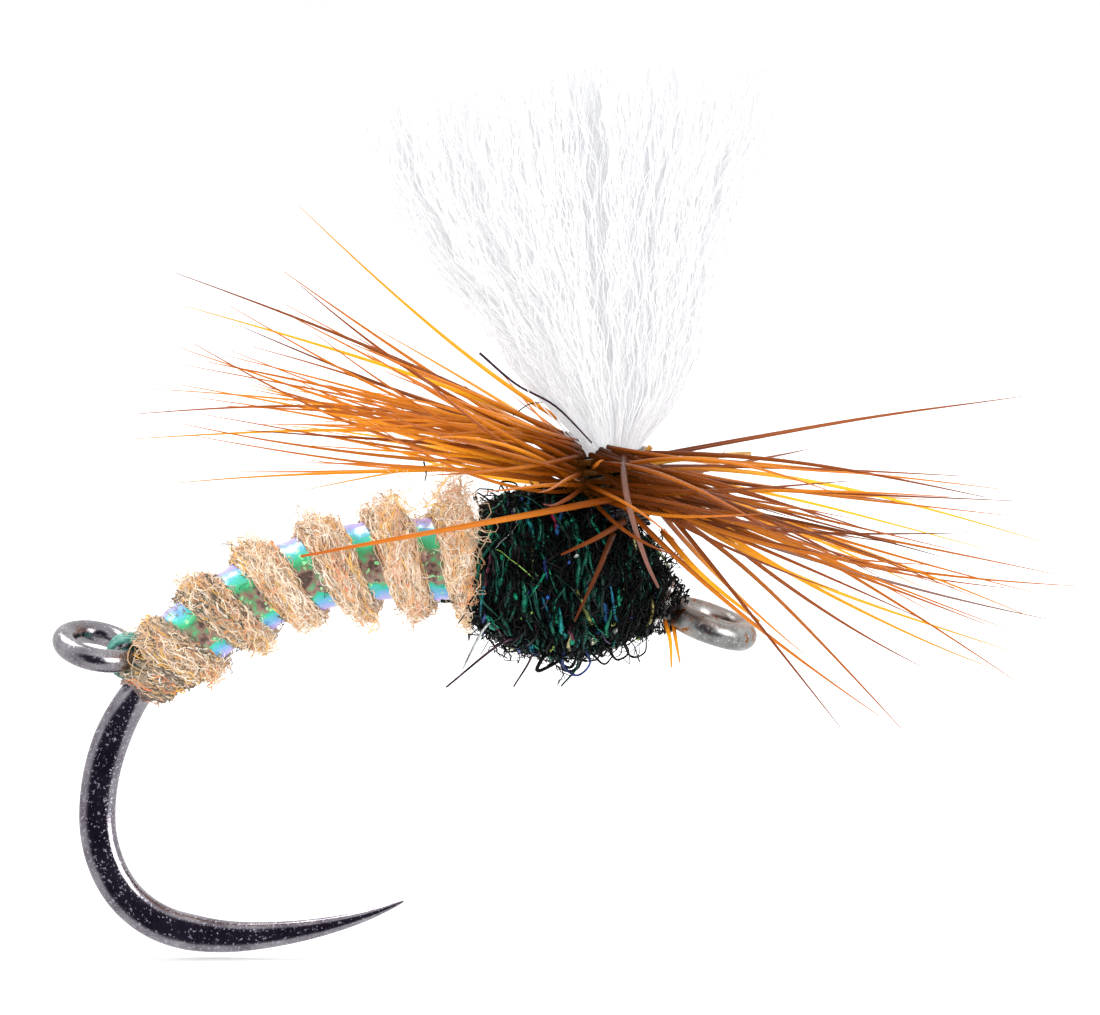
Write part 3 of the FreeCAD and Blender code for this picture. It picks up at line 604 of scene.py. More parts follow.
def swept_by_ring(points):
    """True for points in the room the ring needs as it swings about its lashing."""
    swept = np.zeros(points.shape[:-1], bool)
    for angle in np.radians(np.linspace(*RING_SWING, 14)):
        ahead = RING_AXES[0] * math.cos(angle) - RING_AXES[2] * math.sin(angle)
        up = RING_AXES[0] * math.sin(angle) + RING_AXES[2] * math.cos(angle)
        away = points - (HOLD - ahead * RING_MEAN_R)
        off_plane = away @ up
        in_plane = np.hypot(away @ ahead, away @ RING_AXES[1])
        swept |= np.hypot(in_plane - RING_MEAN_R, off_plane) < RING_WIRE_R + RING_ROOM
    return swept


def winding(name, path, thick, material, *nodes, tone=0.5):
    """One long thread along a path (rows, 3)."""
    tubes(name, path[None], thick, material, [tone], *nodes, sides=8)


def round_hook(front, rear, turns, radius, rng, loose=0.008):
    """A thread's path round the hook from one place to another, a little uneven."""
    rows = int(turns * 28)
    spread = np.linspace(0.0, 1.0, rows)
    uneven = np.interp(spread, np.linspace(0, 1, int(turns) * 2), rng.normal(0, 1, int(turns) * 2))
    place = front + (rear - front) * spread + uneven * loose
    lift = np.interp(spread, np.linspace(0, 1, len(radius)), radius) + np.abs(uneven) * loose
    return around(place, 360.0 * turns * spread, lift)


def make_ring():
    centre = HOLD - RING_AXES[0] * RING_MEAN_R
    torus("dropper_ring_wire", centre, RING_AXES, RING_MEAN_R, RING_WIRE_R, RING_METAL,
          "dropper_ring", body="ring")


EYELET_TURNS = 11
LOOSE_LOOPS = [
    # corners of soft paths: towards the head, across, up
    [(-9.08, -0.55, -0.12), (-9.42, -0.68, -0.4), (-9.52, -0.66, -0.8), (-9.34, -0.55, -1.1)],
    [(-9.1, -0.56, -0.3), (-9.48, -0.66, -0.28), (-9.58, -0.6, -0.58), (-9.3, -0.5, -0.78)],
    [(-9.02, -0.58, -0.45), (-9.3, -0.7, -0.62), (-9.42, -0.62, -0.95), (-9.2, -0.52, -1.02)],
]


def make_lashing():
    """Thread round the wire, a few crossed turns, and an eyelet of thread round the ring."""
    rng = np.random.default_rng(5)
    collar = round_hook(9.02, 9.56, 9, [0.315, 0.345, 0.35, 0.33], rng)
    winding("lashing_collar", collar, 0.034, TEAL_THREAD, "ring_lashing")
    back = round_hook(9.5, 9.1, 4, [0.385, 0.395, 0.37], rng, 0.03)
    winding("lashing_cross", back, 0.032, TEAL_THREAD)
    turned = np.linspace(0.0, TURN * EYELET_TURNS, EYELET_TURNS * 30)[:, None]
    shift = 0.15 * np.sin(turned * 0.29)
    reach = 0.278 + 0.02 * (1.0 + np.sin(turned * 0.37)) + 0.035 * (1.0 - np.sin(turned))
    eyelet = HOLD + RING_AXES[1] * shift
    eyelet = eyelet + (RING_AXES[0] * np.cos(turned) + RING_AXES[2] * np.sin(turned)) * reach
    winding("lashing_eyelet", eyelet, 0.038, TEAL_THREAD)
    loops = [smooth_path(corners, 24) for corners in LOOSE_LOOPS]
    tubes("lashing_loops", loops, 0.01, FUR, [0.22, 0.3, 0.24])


def make_varnish():
    """Hardened varnish with a ragged edge, run on to the wire below the lashing."""
    share = np.linspace(0.0, 1.0, 16)[:, None]
    angles = ring_angles(48)
    lean = np.radians(angles)
    ragged = 0.06 * np.sin(3 * lean + 1.0) + 0.03 * np.sin(7 * lean)
    places = 9.42 + (0.28 + ragged) * share
    radius = 0.345 - 0.03 * share + 0.01 * np.sin(5 * lean + 9.0 * share)
    skin("varnish_run", around(places, angles, radius), VARNISH, "lashing_varnish")


make_ring()
make_lashing()
make_varnish()

# ---- abdomen, rib, guard hair

ABDOMEN_FRONT = 3.45
ABDOMEN_REAR = 8.98
ABDOMEN_FRONT_R = 0.96
ABDOMEN_REAR_R = 0.63
RIB_PITCH = 1.02
RIB_WIDTH = 0.4
RIB_CROSS = 4.14
RIB_FRONT = 3.5
RIB_REAR = 8.62


def rib_phase(place, angle):
    """0 on the tinsel's centre line and 0.5 midway between turns."""
    turns = (place - RIB_CROSS) / RIB_PITCH + (angle - 90.0) / 360.0
    turns = turns - np.floor(turns)
    return np.minimum(turns, 1.0 - turns)


def groove_radius(place):
    """Radius of the dubbing where the tinsel draws it in."""
    return np.interp(place, [ABDOMEN_FRONT, ABDOMEN_REAR], [0.64, 0.53])


def dubbing_radius(place, angle):
    """Radius of the dubbing: full between the turns of tinsel and drawn in under them."""
    back = np.clip((place - ABDOMEN_FRONT) / (ABDOMEN_REAR - ABDOMEN_FRONT), 0.0, 1.0)
    full = ABDOMEN_FRONT_R + (ABDOMEN_REAR_R - ABDOMEN_FRONT_R) * back
    flat = RIB_WIDTH / RIB_PITCH / 2 - 0.046
    rise = np.clip((rib_phase(place, angle) - flat) / (0.5 - flat), 0.0, 1.0)
    low = groove_radius(place)
    return low + (full - low) * np.sin(math.pi / 2 * rise) ** 0.5


def make_abdomen_core():
    places = np.linspace(ABDOMEN_FRONT, ABDOMEN_REAR, 200)[:, None]
    angles = ring_angles(72)
    grid = around(places, angles, 0.985 * dubbing_radius(places, angles))
    skin("abdomen_core", grid, TAN_FELT, "abdomen_dubbing")


def lay(name, rng, paths, curl, thick, tones, spread, material, flat=1.0):
    """Curl fibres, vary their tone and thickness, and leave out any in the ring's way."""
    count = len(paths)
    paths = paths + wander(rng, paths, curl)
    tone = np.clip(rng.choice(tones, count) + rng.normal(0.0, spread, count), 0.0, 1.0)
    radii = taper(paths, thick * rng.uniform(0.6, 1.3, count))
    free = ~swept_by_ring(paths).any(axis=1)
    tubes(name, paths[free], radii[free], material, tone[free], flat=flat)


def fur(name, seed, count, length, lift, curl, thick, tones, front=ABDOMEN_FRONT,
        rear=ABDOMEN_REAR, rows=12, slant=12.0, keep=0.145, sides=(0.0, 360.0)):
    """Fibres laid round the abdomen along the wrap, each a little off it, curled and lifted."""
    rng = np.random.default_rng(seed)
    travelled = shares(rows)
    tries = (5 * count, 1)
    place, angle, reach = draw(rng, 5 * count, (front, rear), sides, (0.5, 1.0))
    reach = reach * length * np.sign(rng.random(tries) - 0.5)
    radius = dubbing_radius(place, angle)
    lean = np.arctan2(RIB_PITCH, TURN * radius) + np.radians(rng.normal(0.0, slant, tries))
    places = np.clip(place + reach * np.sin(lean) * travelled, ABDOMEN_FRONT, ABDOMEN_REAR + 0.12)
    angles = angle - np.degrees(reach * np.cos(lean) / radius) * travelled
    chosen = np.flatnonzero((rib_phase(places, angles) > keep).all(axis=1))[:count]
    places = places[chosen]
    angles = angles[chosen]
    height, = draw(rng, len(chosen), (0.2, 1.0))
    height = height * lift * np.sin(math.pi * travelled * 0.9)
    paths = around(places, angles, dubbing_radius(places, angles) + height - 0.01)
    lay(name, rng, paths, curl, thick, tones, 0.012, FUR)


TAN_MIX = [0.22, 0.26, 0.3, 0.36, 0.42, 0.48, 0.54, 0.6, 0.66, 0.72, 0.78, 0.84, 0.88, 0.88,
           0.93, 0.965]
REAR_MIX = [0.0, 0.05, 0.09, 0.13, 0.13, 0.18, 0.22, 0.22, 0.3, 0.42, 0.6, 0.72, 0.88, 0.93,
            0.965]
PALE_MIX = [0.3, 0.36, 0.42, 0.5, 0.66, 0.8, 0.88, 0.93, 0.965]
PATCH_MIX = [0.0, 0.0, 0.05, 0.05, 0.05, 0.09]


def make_abdomen():
    make_abdomen_core()
    fur("abdomen_fur_low", 11, 2100, 1.1, 0.03, 0.022, 0.016, TAN_MIX)
    fur("abdomen_fur_high", 12, 1200, 0.9, 0.07, 0.045, 0.013, TAN_MIX, slant=22.0)
    fur("abdomen_fur_rear", 13, 900, 0.9, 0.07, 0.045, 0.014, REAR_MIX, 7.2, 8.98, slant=22.0)
    fur("abdomen_patch", 17, 60, 0.5, 0.08, 0.03, 0.018, PATCH_MIX, 7.55, 8.05,
        sides=(35.0, 80.0))
    fur("abdomen_fuzz", 14, 620, 0.9, 0.28, 0.095, 0.008, PALE_MIX, rows=16, slant=35.0,
        keep=0.27)
    fur("abdomen_curls", 15, 70, 1.2, 0.6, 0.2, 0.009, PALE_MIX, 3.45, 4.7, 20, 70.0, 0.2,
        (-60.0, 60.0))


def make_tail_fur():
    """Dubbing that runs on over the lashing, thinnest on the outside of the bend."""
    rng = np.random.default_rng(16)
    count = 700
    travelled = shares(10)
    place, angle, reach = draw(rng, count, (8.75, 9.52), (62.0, 298.0), (30.0, 80.0))
    reach = reach * np.sign(rng.random((count, 1)) - 0.5)
    places = place - reach / 360.0 * travelled
    radius = np.interp(places, [8.6, 9.0, 9.6], [0.62, 0.56, 0.38])
    lift, = draw(rng, count, (0.0, 0.07))
    paths = around(places, angle + reach * travelled, radius + lift * np.sin(math.pi * travelled))
    paths = paths + wander(rng, paths, 0.04)
    tubes("abdomen_tail_fur", paths, taper(paths, 0.014), FUR, rng.choice(REAR_MIX, count))


def make_rib():
    """The tinsel, a thin strip wound in the grooves with its edges turned up a little."""
    steps = int((RIB_REAR - RIB_FRONT) / RIB_PITCH * 64)
    place = np.linspace(RIB_REAR, RIB_FRONT, steps)[:, None]
    angle = 90.0 - (place - RIB_CROSS) / RIB_PITCH * 360.0
    across = np.linspace(-0.5, 0.5, 9)
    top = 0.045 + 0.03 * (2 * across) ** 2
    section = np.concatenate([across, across[::-1]])
    height = np.concatenate([top, top[::-1] - 0.015])
    ripple = 0.01 * np.sin(np.radians(angle) * 3.7) * np.cos(section * 9.0)[None]
    grid = around(place + section[None] * RIB_WIDTH, angle,
                  groove_radius(place) + height[None] + ripple)
    # sweep places the painted reflection bands round each turn of the strip.
    sweep = np.broadcast_to(np.mod(angle, 180.0) / 180.0, grid.shape[:2])
    skin("rib_strip", grid, PEARL, "rib_tinsel", sweep=sweep)


make_abdomen()
make_tail_fur()
make_rib()

# ---- thorax

THORAX_PLACE = 1.93
THORAX_HALF = 2.05
THORAX_R = 1.37
THORAX_FRONT = 0.51
THORAX_REAR = 3.31
HEAD_FUZZ_FRONT = -0.12
HEAD_FUZZ_REAR = 0.75


def thorax_radius(place):
    """Radius of the thorax's barrel, with rounded ends, at distances along the hook."""
    share = np.clip((place - THORAX_PLACE) / THORAX_HALF, -1.0, 1.0)
    barrel = THORAX_R * np.sqrt(np.maximum(1.0 - share ** 2, 0.0))
    nose = np.interp(place, [THORAX_FRONT, 1.1, 1.9], [0.62, 0.86, 1.0])
    return barrel * nose


def make_thorax_core():
    spread = np.linspace(0.0, 1.0, 60)
    places = (THORAX_FRONT + (THORAX_REAR - THORAX_FRONT) * spread)[:, None]
    angles = ring_angles(64)
    round_off = np.clip(np.minimum(spread, 1.0 - spread) / 0.08, 0.0, 1.0)[:, None] ** 0.4
    lumps = 0.04 * np.sin(places * 9.0 + np.radians(angles) * 3) * np.cos(np.radians(angles) * 5)
    radius = thorax_radius(places) * 0.93 * (0.35 + 0.65 * round_off) + lumps * round_off
    skin("thorax_core", around(places, angles, radius), DARK_FELT, "thorax_dubbing")


def dubbing(name, seed, count, length, lift, curl, thick, tones, material, rows=8, flat=1.0,
            slant=35.0):
    """Fibres laid round the thorax, off the wrap by a random slant, curled and lifted."""
    rng = np.random.default_rng(seed)
    travelled = shares(rows)
    place, angle, reach = draw(rng, count, (THORAX_FRONT - 0.05, THORAX_REAR), (0.0, 360.0),
                               (0.4, 1.0))
    lean = np.radians(15.0 + rng.normal(0.0, slant, (count, 1)))
    reach = np.sign(rng.random((count, 1)) - 0.5) * (reach * length)
    radius = np.maximum(thorax_radius(place), 0.5)
    places = place + reach * np.sin(lean) * travelled
    places = np.clip(places, THORAX_FRONT - 0.12, THORAX_REAR + 0.1)
    angles = angle - np.degrees(reach * np.cos(lean) / radius) * travelled
    height, = draw(rng, count, (0.1, 1.0))
    height = height * lift * np.sin(math.pi * travelled * 0.85)
    paths = around(places, angles, np.maximum(thorax_radius(places) * 0.96, 0.36) + height)
    lay(name, rng, paths, curl, thick, tones, 0.03, material, flat)


def make_thorax():
    make_thorax_core()
    even = np.linspace(0.0, 1.0, 12)
    streaks = np.repeat([0.06, 0.12, 0.2, 0.3, 0.42, 0.52, 0.6, 0.7, 0.76, 0.84, 0.9, 0.95, 1.0],
                        [8, 12, 9, 7, 4, 2, 5, 2, 3, 1, 1, 1, 1])
    bright = [0.3, 0.42, 0.5, 0.5, 0.5, 0.5, 0.6, 0.7, 0.84, 0.9, 1.0]
    dubbing("thorax_low", 21, 1500, 1.4, 0.05, 0.03, 0.021, even, PEACOCK)
    dubbing("thorax_high", 22, 700, 1.4, 0.13, 0.08, 0.015, even, PEACOCK, 10)
    dubbing("thorax_flash", 23, 470, 0.95, 0.15, 0.016, 0.048, streaks, FLASH, 8, 0.3, 22.0)
    # Short flat flakes in the brighter flash tones: painted glints on the thorax.
    dubbing("thorax_glints", 26, 90, 0.12, 0.22, 0.004, 0.04, bright, FLASH, 4, 0.6, 40.0)
    dubbing("thorax_fuzz", 24, 170, 1.5, 0.32, 0.14, 0.014, even, PEACOCK, 18)


def make_head_fuzz():
    """Dark fuzz that runs on over the head's thread as far as the eye."""
    rng = np.random.default_rng(25)
    count = 150
    travelled = shares(12)
    place, angle, reach, lift = draw(rng, count, (HEAD_FUZZ_FRONT, HEAD_FUZZ_REAR), (0.0, 360.0),
                                     (-150.0, 150.0), (0.0, 0.1))
    radius = np.interp(place, [HEAD_FUZZ_FRONT, 0.2, HEAD_FUZZ_REAR], [0.3, 0.44, 0.7])
    paths = around(place + 0.08 * travelled, angle + reach * travelled,
                   radius + lift * np.sin(math.pi * travelled))
    paths = paths + wander(rng, paths, 0.035)
    tubes("head_fuzz", paths, taper(paths, 0.015), PEACOCK, rng.random(count))


make_thorax()
make_head_fuzz()

# ---- wing post

POST_PLACE = 0.85
POST_LEAN = 6.3
POST_FOOT = station(POST_PLACE)[0]
POST_AXES = rotation(-POST_LEAN, 0.0)
WING_ROOT = 1.15
WING_TOP = 9.08
WING_ROWS = 26
YARN_R = 0.0105
WING_EDGES = [
    # height above the shank, and the fan's edge towards the tail, the head and each side
    (0.55, 0.4, 0.4, 0.4),
    (2.34, 0.4, 0.4, 0.4),
    (3.15, 0.85, 1.15, 0.75),
    (4.0, 1.42, 1.62, 1.05),
    (4.8, 1.92, 1.9, 1.3),
    (5.65, 2.6, 2.26, 1.55),
    (6.5, 3.12, 2.66, 1.78),
    (7.3, 3.46, 3.22, 1.92),
    (8.1, 3.58, 3.56, 2.0),
    (8.85, 3.6, 3.62, 2.0),
]


def off_post(x, y, height):
    """Points in the post's own frame: X towards the head, Y across and Z up the post."""
    return POST_FOOT + np.stack([x, y, height], -1) @ POST_AXES


def make_wing_part(name, seed, strands, per_strand, *nodes, loose=0.085):
    """Crimped yarn fibres in loose strands that fan out above the bound stem."""
    rng = np.random.default_rng(seed)
    count = strands * per_strand
    edges = np.array(WING_EDGES).T
    middle = rng.uniform(-0.98, 0.98, strands)
    across = rng.uniform(-1.0, 1.0, strands) * np.sqrt(1.0 - middle ** 2)
    long_share = np.repeat(middle, per_strand) + rng.normal(0, 0.045, count)
    wide_share = np.repeat(across, per_strand) + rng.normal(0, 0.06, count)
    beyond = np.maximum(1.0, np.hypot(long_share, wide_share))
    long_share = (long_share / beyond)[:, None]
    wide_share = (wide_share / beyond)[:, None]
    top = WING_TOP - 0.4 * np.abs(long_share) ** 3 - np.abs(rng.normal(0, 0.3, (count, 1)))
    height = WING_ROOT + (top - WING_ROOT) * shares(WING_ROWS)
    tail, head, wide = (np.interp(height, edges[0], edge) for edge in edges[1:])
    x = np.where(long_share < 0, tail, head) * long_share
    y = wide * wide_share
    free = np.clip((height - 2.4) / 1.5, 0.0, 1.0)
    phase = np.repeat(rng.uniform(0, TURN, strands), per_strand)[:, None]
    rate = np.repeat(rng.uniform(3.2, 6.5, strands), per_strand)[:, None]
    crimp = 0.065 * np.sin(height * rate + phase) * free
    paths = off_post(x + crimp, y + 0.7 * crimp, height)
    paths = paths + wander(rng, paths, loose, 2.2) * free[..., None]
    tone = np.clip(np.repeat(rng.random(strands), per_strand) + rng.normal(0, 0.15, count), 0, 1)
    radii = taper(paths, YARN_R * rng.uniform(0.6, 1.5, count), 0.7)
    tubes(name, paths, radii, YARN, tone, *nodes)


def make_wing():
    make_wing_part("wing_fan_a", 31, 98, 9, "wing_post")
    make_wing_part("wing_fan_b", 32, 98, 9)
    make_wing_part("wing_fan_c", 33, 98, 9)
    make_wing_part("wing_fan_d", 34, 98, 9)
    make_wing_part("wing_strays", 35, 60, 1, loose=0.26)


make_wing()

# ---- hackle

HACKLE_TILT = 14.0
HACKLE_AXES = rotation(HACKLE_TILT, 0.0)
QUILL_TURN_R = 0.57
QUILL_TURNS = 4.2
BARB_R = 0.047
BARB_ROWS = 20
BARB_TIP = 0.12
BARB_SPREAD = 3.6
BARB_WANDER = (0.05, 0.3)
HUB_HEIGHT = 1.95
CHOSEN_BARBS = [
    # tip towards the head, tip above the hub, side (-1 near), bow upwards, length, tone
    (-5.3, 4.2, 1, -0.4, 8.2, 0.85),
    (-7.1, 3.5, -1, 0.12, 8.2, 0.2),
    (-5.6, 3.2, 1, 0.0, 7.6, 0.55),
    (-5.1, 3.4, -1, -0.42, 7.4, 0.3),
    (-7.2, 2.7, 1, 0.16, 8.0, 0.9),
    (-6.9, 2.4, -1, -0.45, 7.8, 0.4),
    (-7.3, 2.0, 1, -0.16, 8.0, 0.62),
    (-7.8, 1.2, -1, 0.42, 8.2, 0.35),
    (-7.3, 1.4, 1, 0.1, 7.8, 0.7),
    (-6.3, 2.3, 1, -0.1, 7.5, 0.15),
    (-7.0, 1.0, -1, -0.3, 7.6, 0.5),
    (-7.9, 0.7, -1, 0.14, 8.0, 0.82),
    (-6.4, -0.1, 1, 0.1, 7.4, 0.6),
    (-7.5, -0.3, 1, 0.15, 7.8, 0.75),
    (-6.0, 1.1, -1, 0.05, 7.6, 0.28),
    (-5.3, -0.6, 1, 0.12, 7.5, 0.95),
    (6.9, 1.2, 1, 0.05, 7.6, 0.3),
    (5.3, 0.1, -1, 0.1, 7.4, 0.6),
    (7.2, -1.2, 1, 0.3, 7.7, 0.92),
    (7.4, -1.7, -1, -0.3, 7.8, 0.5),
    (4.9, -0.8, 1, 0.15, 7.2, 0.25),
    (6.7, -2.1, -1, 0.15, 7.5, 0.72),
    (6.6, -2.1, 1, -0.4, 7.4, 0.35),
    (7.2, -2.6, 1, -0.16, 7.9, 1.0),
    (6.0, -2.8, -1, -0.35, 7.3, 0.8),
    (6.7, -3.2, 1, -0.3, 7.8, 0.84),
    (6.5, -3.2, -1, 0.2, 7.6, 0.45),
    (5.2, -3.5, 1, -0.35, 7.2, 0.3),
    (4.3, -3.6, -1, -0.2, 7.0, 0.55),
    (4.9, -4.6, 1, 0.3, 7.5, 0.4),
    (3.6, -3.7, -1, 0.1, 6.8, 0.2),
    (3.3, -3.4, 1, -0.1, 6.8, 0.65),
]


def hub(height):
    return POST_FOOT + POST_AXES[2] * height


def barb_paths(tips, bows, heights, swirl):
    """Paths from the quill's turns out to each tip. Bow lifts a barb's middle."""
    travelled = shares(BARB_ROWS)[..., None]
    hubs = np.stack([hub(height) for height in heights])
    local = (tips - hubs) @ HACKLE_AXES.T
    azimuth = np.arctan2(local[:, 1], local[:, 0]) - swirl
    root = np.stack([np.cos(azimuth), np.sin(azimuth), np.zeros_like(azimuth)], -1)
    roots = hubs + (root * (QUILL_TURN_R + 0.04)) @ HACKLE_AXES
    straight = roots[:, None] + (tips - roots)[:, None] * travelled
    arch = 4 * travelled * (1 - travelled) * (1.2 - 0.4 * travelled)
    up = np.array([0.0, 0.0, 1.0])
    return straight + up * bows[:, None, None] * arch


def make_chosen_barbs():
    """The barbs that stand out in the side view, longest towards the head and the tail."""
    rng = np.random.default_rng(41)
    forward, above, side, bows, length, tone = np.array(CHOSEN_BARBS).T
    count = len(tone)
    depth = np.sqrt(np.maximum(length ** 2 - forward ** 2 - above ** 2, 0.3))
    tips = hub(HUB_HEIGHT) + np.stack([forward, side * depth, above], -1)
    heights = rng.uniform(1.55, 2.42, count)
    paths = barb_paths(tips, bows, heights, rng.uniform(0.6, 1.3, count))
    paths = paths + wander(rng, paths, *BARB_WANDER)
    radii = taper(paths, BARB_R, BARB_TIP)
    tubes("hackle_chosen", paths, radii, BARB, tone, "hackle_barbs_head", "hackle_barbs_tail",
          sides=6)


OTHER_BARBS = [
    # azimuth range in degrees, from the head over the far side, and how many barbs
    (8.0, 35.0, 4),
    (35.0, 60.0, 8),
    (60.0, 125.0, 34),
    (125.0, 150.0, 12),
    (150.0, 172.0, 7),
    (188.0, 212.0, 7),
    (212.0, 248.0, 30),
    (248.0, 290.0, 7),
    (290.0, 330.0, 25),
    (330.0, 352.0, 6),
]


def make_other_barbs():
    """The rest of the hackle, which fills the far side and, more thinly, the near side."""
    rng = np.random.default_rng(42)
    azimuth = np.radians(np.concatenate([rng.uniform(low, high, count)
                                         for low, high, count in OTHER_BARBS]))
    count = len(azimuth)
    tailward = np.clip(-np.cos(azimuth) * 1.6, 0.0, 1.0)
    endward = np.clip(np.abs(np.cos(azimuth)) * 1.6, 0.0, 1.0)
    lift = rng.normal(0.0, BARB_SPREAD, count) * (1.0 + 0.5 * endward) - 2.5 * np.sin(azimuth)
    lift = np.minimum(lift + 1.3 * tailward, 4.5 + 7.0 * endward)
    lift = np.radians(np.maximum(lift, -9.0 + 2.5 * tailward))
    length = rng.uniform(6.3, 7.9, count)
    local = np.stack([np.cos(azimuth) * np.cos(lift), np.sin(azimuth) * np.cos(lift),
                      np.sin(lift)], -1)
    tips = hub(HUB_HEIGHT) + (local * length[:, None]) @ HACKLE_AXES
    heights = rng.uniform(1.5, 2.46, count)
    paths = barb_paths(tips, rng.normal(0.0, 0.15, count), heights, rng.uniform(0.6, 1.4, count))
    paths = paths + wander(rng, paths, *BARB_WANDER)
    radii = taper(paths, BARB_R * rng.uniform(0.75, 1.1, count), BARB_TIP)
    tone = rng.uniform(0.0, 0.92, count) * np.where(np.sin(azimuth) < 0.0, 0.65, 1.0)
    # Barbs towards the tail are pushed towards a golden tone: painted backlight.
    tone = tone + (0.97 - tone) * 0.42 * tailward
    tubes("hackle_others", paths, radii, BARB, tone, "hackle_barbs_far", "hackle_barbs_near",
          sides=6)


def make_quill():
    """The hackle's stem wound round the post, and its trimmed ends beside it."""
    turned = np.linspace(0.0, TURN * QUILL_TURNS, 170)
    height = 1.64 + 0.165 * turned / TURN
    path = off_post(QUILL_TURN_R * np.cos(turned), QUILL_TURN_R * np.sin(turned), height)
    winding("quill_turns", path, 0.062, QUILL, "hackle_quill", tone=0.15)
    lower = np.linspace([-1.45, -0.8, 2.62], [0.66, -0.92, 2.86], 14)
    upper = np.linspace([-1.1, -0.78, 2.86], [-0.98, -0.8, 2.98], 14)
    lower[:, 2] += 0.05 * np.sin(np.linspace(0, math.pi, 14))
    tubes("quill_stubs", [lower, upper], 0.045, QUILL, [0.9, 0.7], "hackle_stub", sides=8)


make_chosen_barbs()
make_other_barbs()
make_quill()

# ---- stray fibres and barbs

STRAY_ROWS = 22
STRAY_FIBRES = [
    # tone, thickness and the corners of a soft path: towards the head, across, up
    (1.0, 0.026, [(-3.5, -0.7, 0.2), (-3.78, -0.85, -0.1), (-4.08, -0.95, -0.68)]),
    (0.76, 0.028, [(-3.05, -0.6, -0.15), (-3.5, -0.8, -0.3), (-4.35, -0.9, -0.98)]),
    (0.76, 0.024, [(-2.9, -0.6, -0.1), (-2.95, -0.7, -0.5), (-3.24, -0.8, -0.98)]),
    (0.02, 0.016, [(-3.65, -0.5, 0.45), (-3.95, -0.55, 0.3), (-4.15, -0.6, 0.05)]),
    (0.0, 0.036, [(-2.62, -0.55, -0.3), (-2.86, -0.6, -0.72), (-2.58, -0.62, -0.62),
                  (-2.35, -0.6, -0.45)]),
    (0.0, 0.026, [(-2.48, -0.4, -0.35), (-2.42, -0.45, -0.72), (-2.18, -0.45, -0.7),
                  (-2.12, -0.42, -0.42), (-2.36, -0.4, -0.4)]),
    (0.73, 0.024, [(-2.36, -0.65, -0.3), (-2.44, -0.7, -0.6), (-2.2, -0.72, -0.8),
                   (-1.98, -0.7, -0.6), (-2.08, -0.62, -0.35)]),
    (0.03, 0.03, [(-2.55, -0.6, -0.2), (-2.5, -0.66, -0.55), (-2.28, -0.68, -0.66),
                  (-2.14, -0.64, -0.3)]),
    (0.09, 0.024, [(-2.18, -0.5, -0.35), (-2.2, -0.55, -0.68), (-2.46, -0.6, -0.99)]),
    (0.0, 0.022, [(-1.95, -0.6, -0.45), (-1.75, -0.62, -0.62), (-1.6, -0.6, -0.48)]),
    (0.0, 0.022, [(-1.7, -0.5, -0.3), (-1.55, -0.55, -0.55), (-1.35, -0.55, -0.45),
                  (-1.4, -0.5, -0.28)]),
    (0.02, 0.02, [(-1.45, -0.3, -0.25), (-1.3, -0.35, -0.52), (-1.08, -0.35, -0.45),
                  (-1.05, -0.3, -0.2)]),
    (0.07, 0.034, [(-4.44, -0.6, 0.42), (-4.3, -0.6, 0.41), (-4.12, -0.6, 0.38)]),
    (0.2, 0.026, [(-3.45, -1.0, 1.55), (-3.78, -1.05, 1.1), (-3.8, -1.02, 0.55),
                  (-3.5, -0.95, 0.2)]),
    (0.0, 0.024, [(-3.45, -0.9, 1.42), (-3.7, -0.98, 1.05), (-3.66, -0.98, 0.7),
                  (-3.45, -0.9, 0.4)]),
    (0.0, 0.018, [(-3.6, -0.5, 2.05), (-3.85, -0.55, 2.2), (-3.8, -0.6, 1.98),
                  (-3.6, -0.6, 1.95)]),
    (0.0, 0.018, [(-3.3, -0.4, 2.1), (-3.45, -0.45, 2.36), (-3.2, -0.45, 2.34),
                  (-3.15, -0.4, 2.12)]),
    (0.76, 0.024, [(-3.8, -0.3, 4.49), (-3.2, -0.35, 3.98), (-2.55, -0.45, 3.62),
                   (-1.95, -0.5, 3.02)]),
    (0.02, 0.012, [(-3.25, 0.4, 3.42), (-2.95, 0.3, 3.62), (-2.6, 0.2, 3.58), (-2.2, 0.1, 3.15)]),
    (0.02, 0.016, [(-4.72, -0.3, 2.7), (-4.68, -0.32, 2.52), (-4.7, -0.3, 2.38)]),
]
STRAY_BARBS = [
    # tone, thickness and the corners of a soft path, as above
    (1.0, 0.06, [(-1.42, -0.7, 2.86), (-1.43, -2.4, 2.52), (-1.32, -3.0, 2.0),
                 (-1.09, -2.9, 1.27), (-0.88, -2.6, 0.8)]),
    (0.52, 0.064, [(-1.15, -0.7, 2.2), (-2.9, -1.9, 1.95), (-4.9, -3.2, 1.68),
                   (-6.62, -4.6, 1.46)]),
    (0.12, 0.055, [(-1.4, -1.35, 1.8), (-1.9, -1.55, 1.52), (-2.46, -1.62, 1.26)]),
    (0.0, 0.05, [(-1.6, -1.4, 1.6), (-1.85, -1.58, 1.0), (-2.24, -1.55, 0.16)]),
    (0.85, 0.055, [(-0.8, -0.8, 1.6), (-0.3, -0.95, 1.02), (0.2, -1.0, 0.58),
                   (0.8, -1.05, 0.12)]),
    (0.85, 0.04, [(-0.75, -0.45, 0.1), (-0.66, -0.55, -0.25), (-0.64, -0.6, -0.68)]),
    (0.8, 0.036, [(-0.62, -0.42, 0.1), (-0.56, -0.52, -0.28), (-0.5, -0.6, -0.6)]),
]


def stray_group(name, strays, material, tip, *nodes):
    tone, thick, corners = zip(*strays)
    paths = np.stack([smooth_path(path, STRAY_ROWS) for path in corners])
    tubes(name, paths, taper(paths, thick, tip), material, tone, *nodes, sides=6)


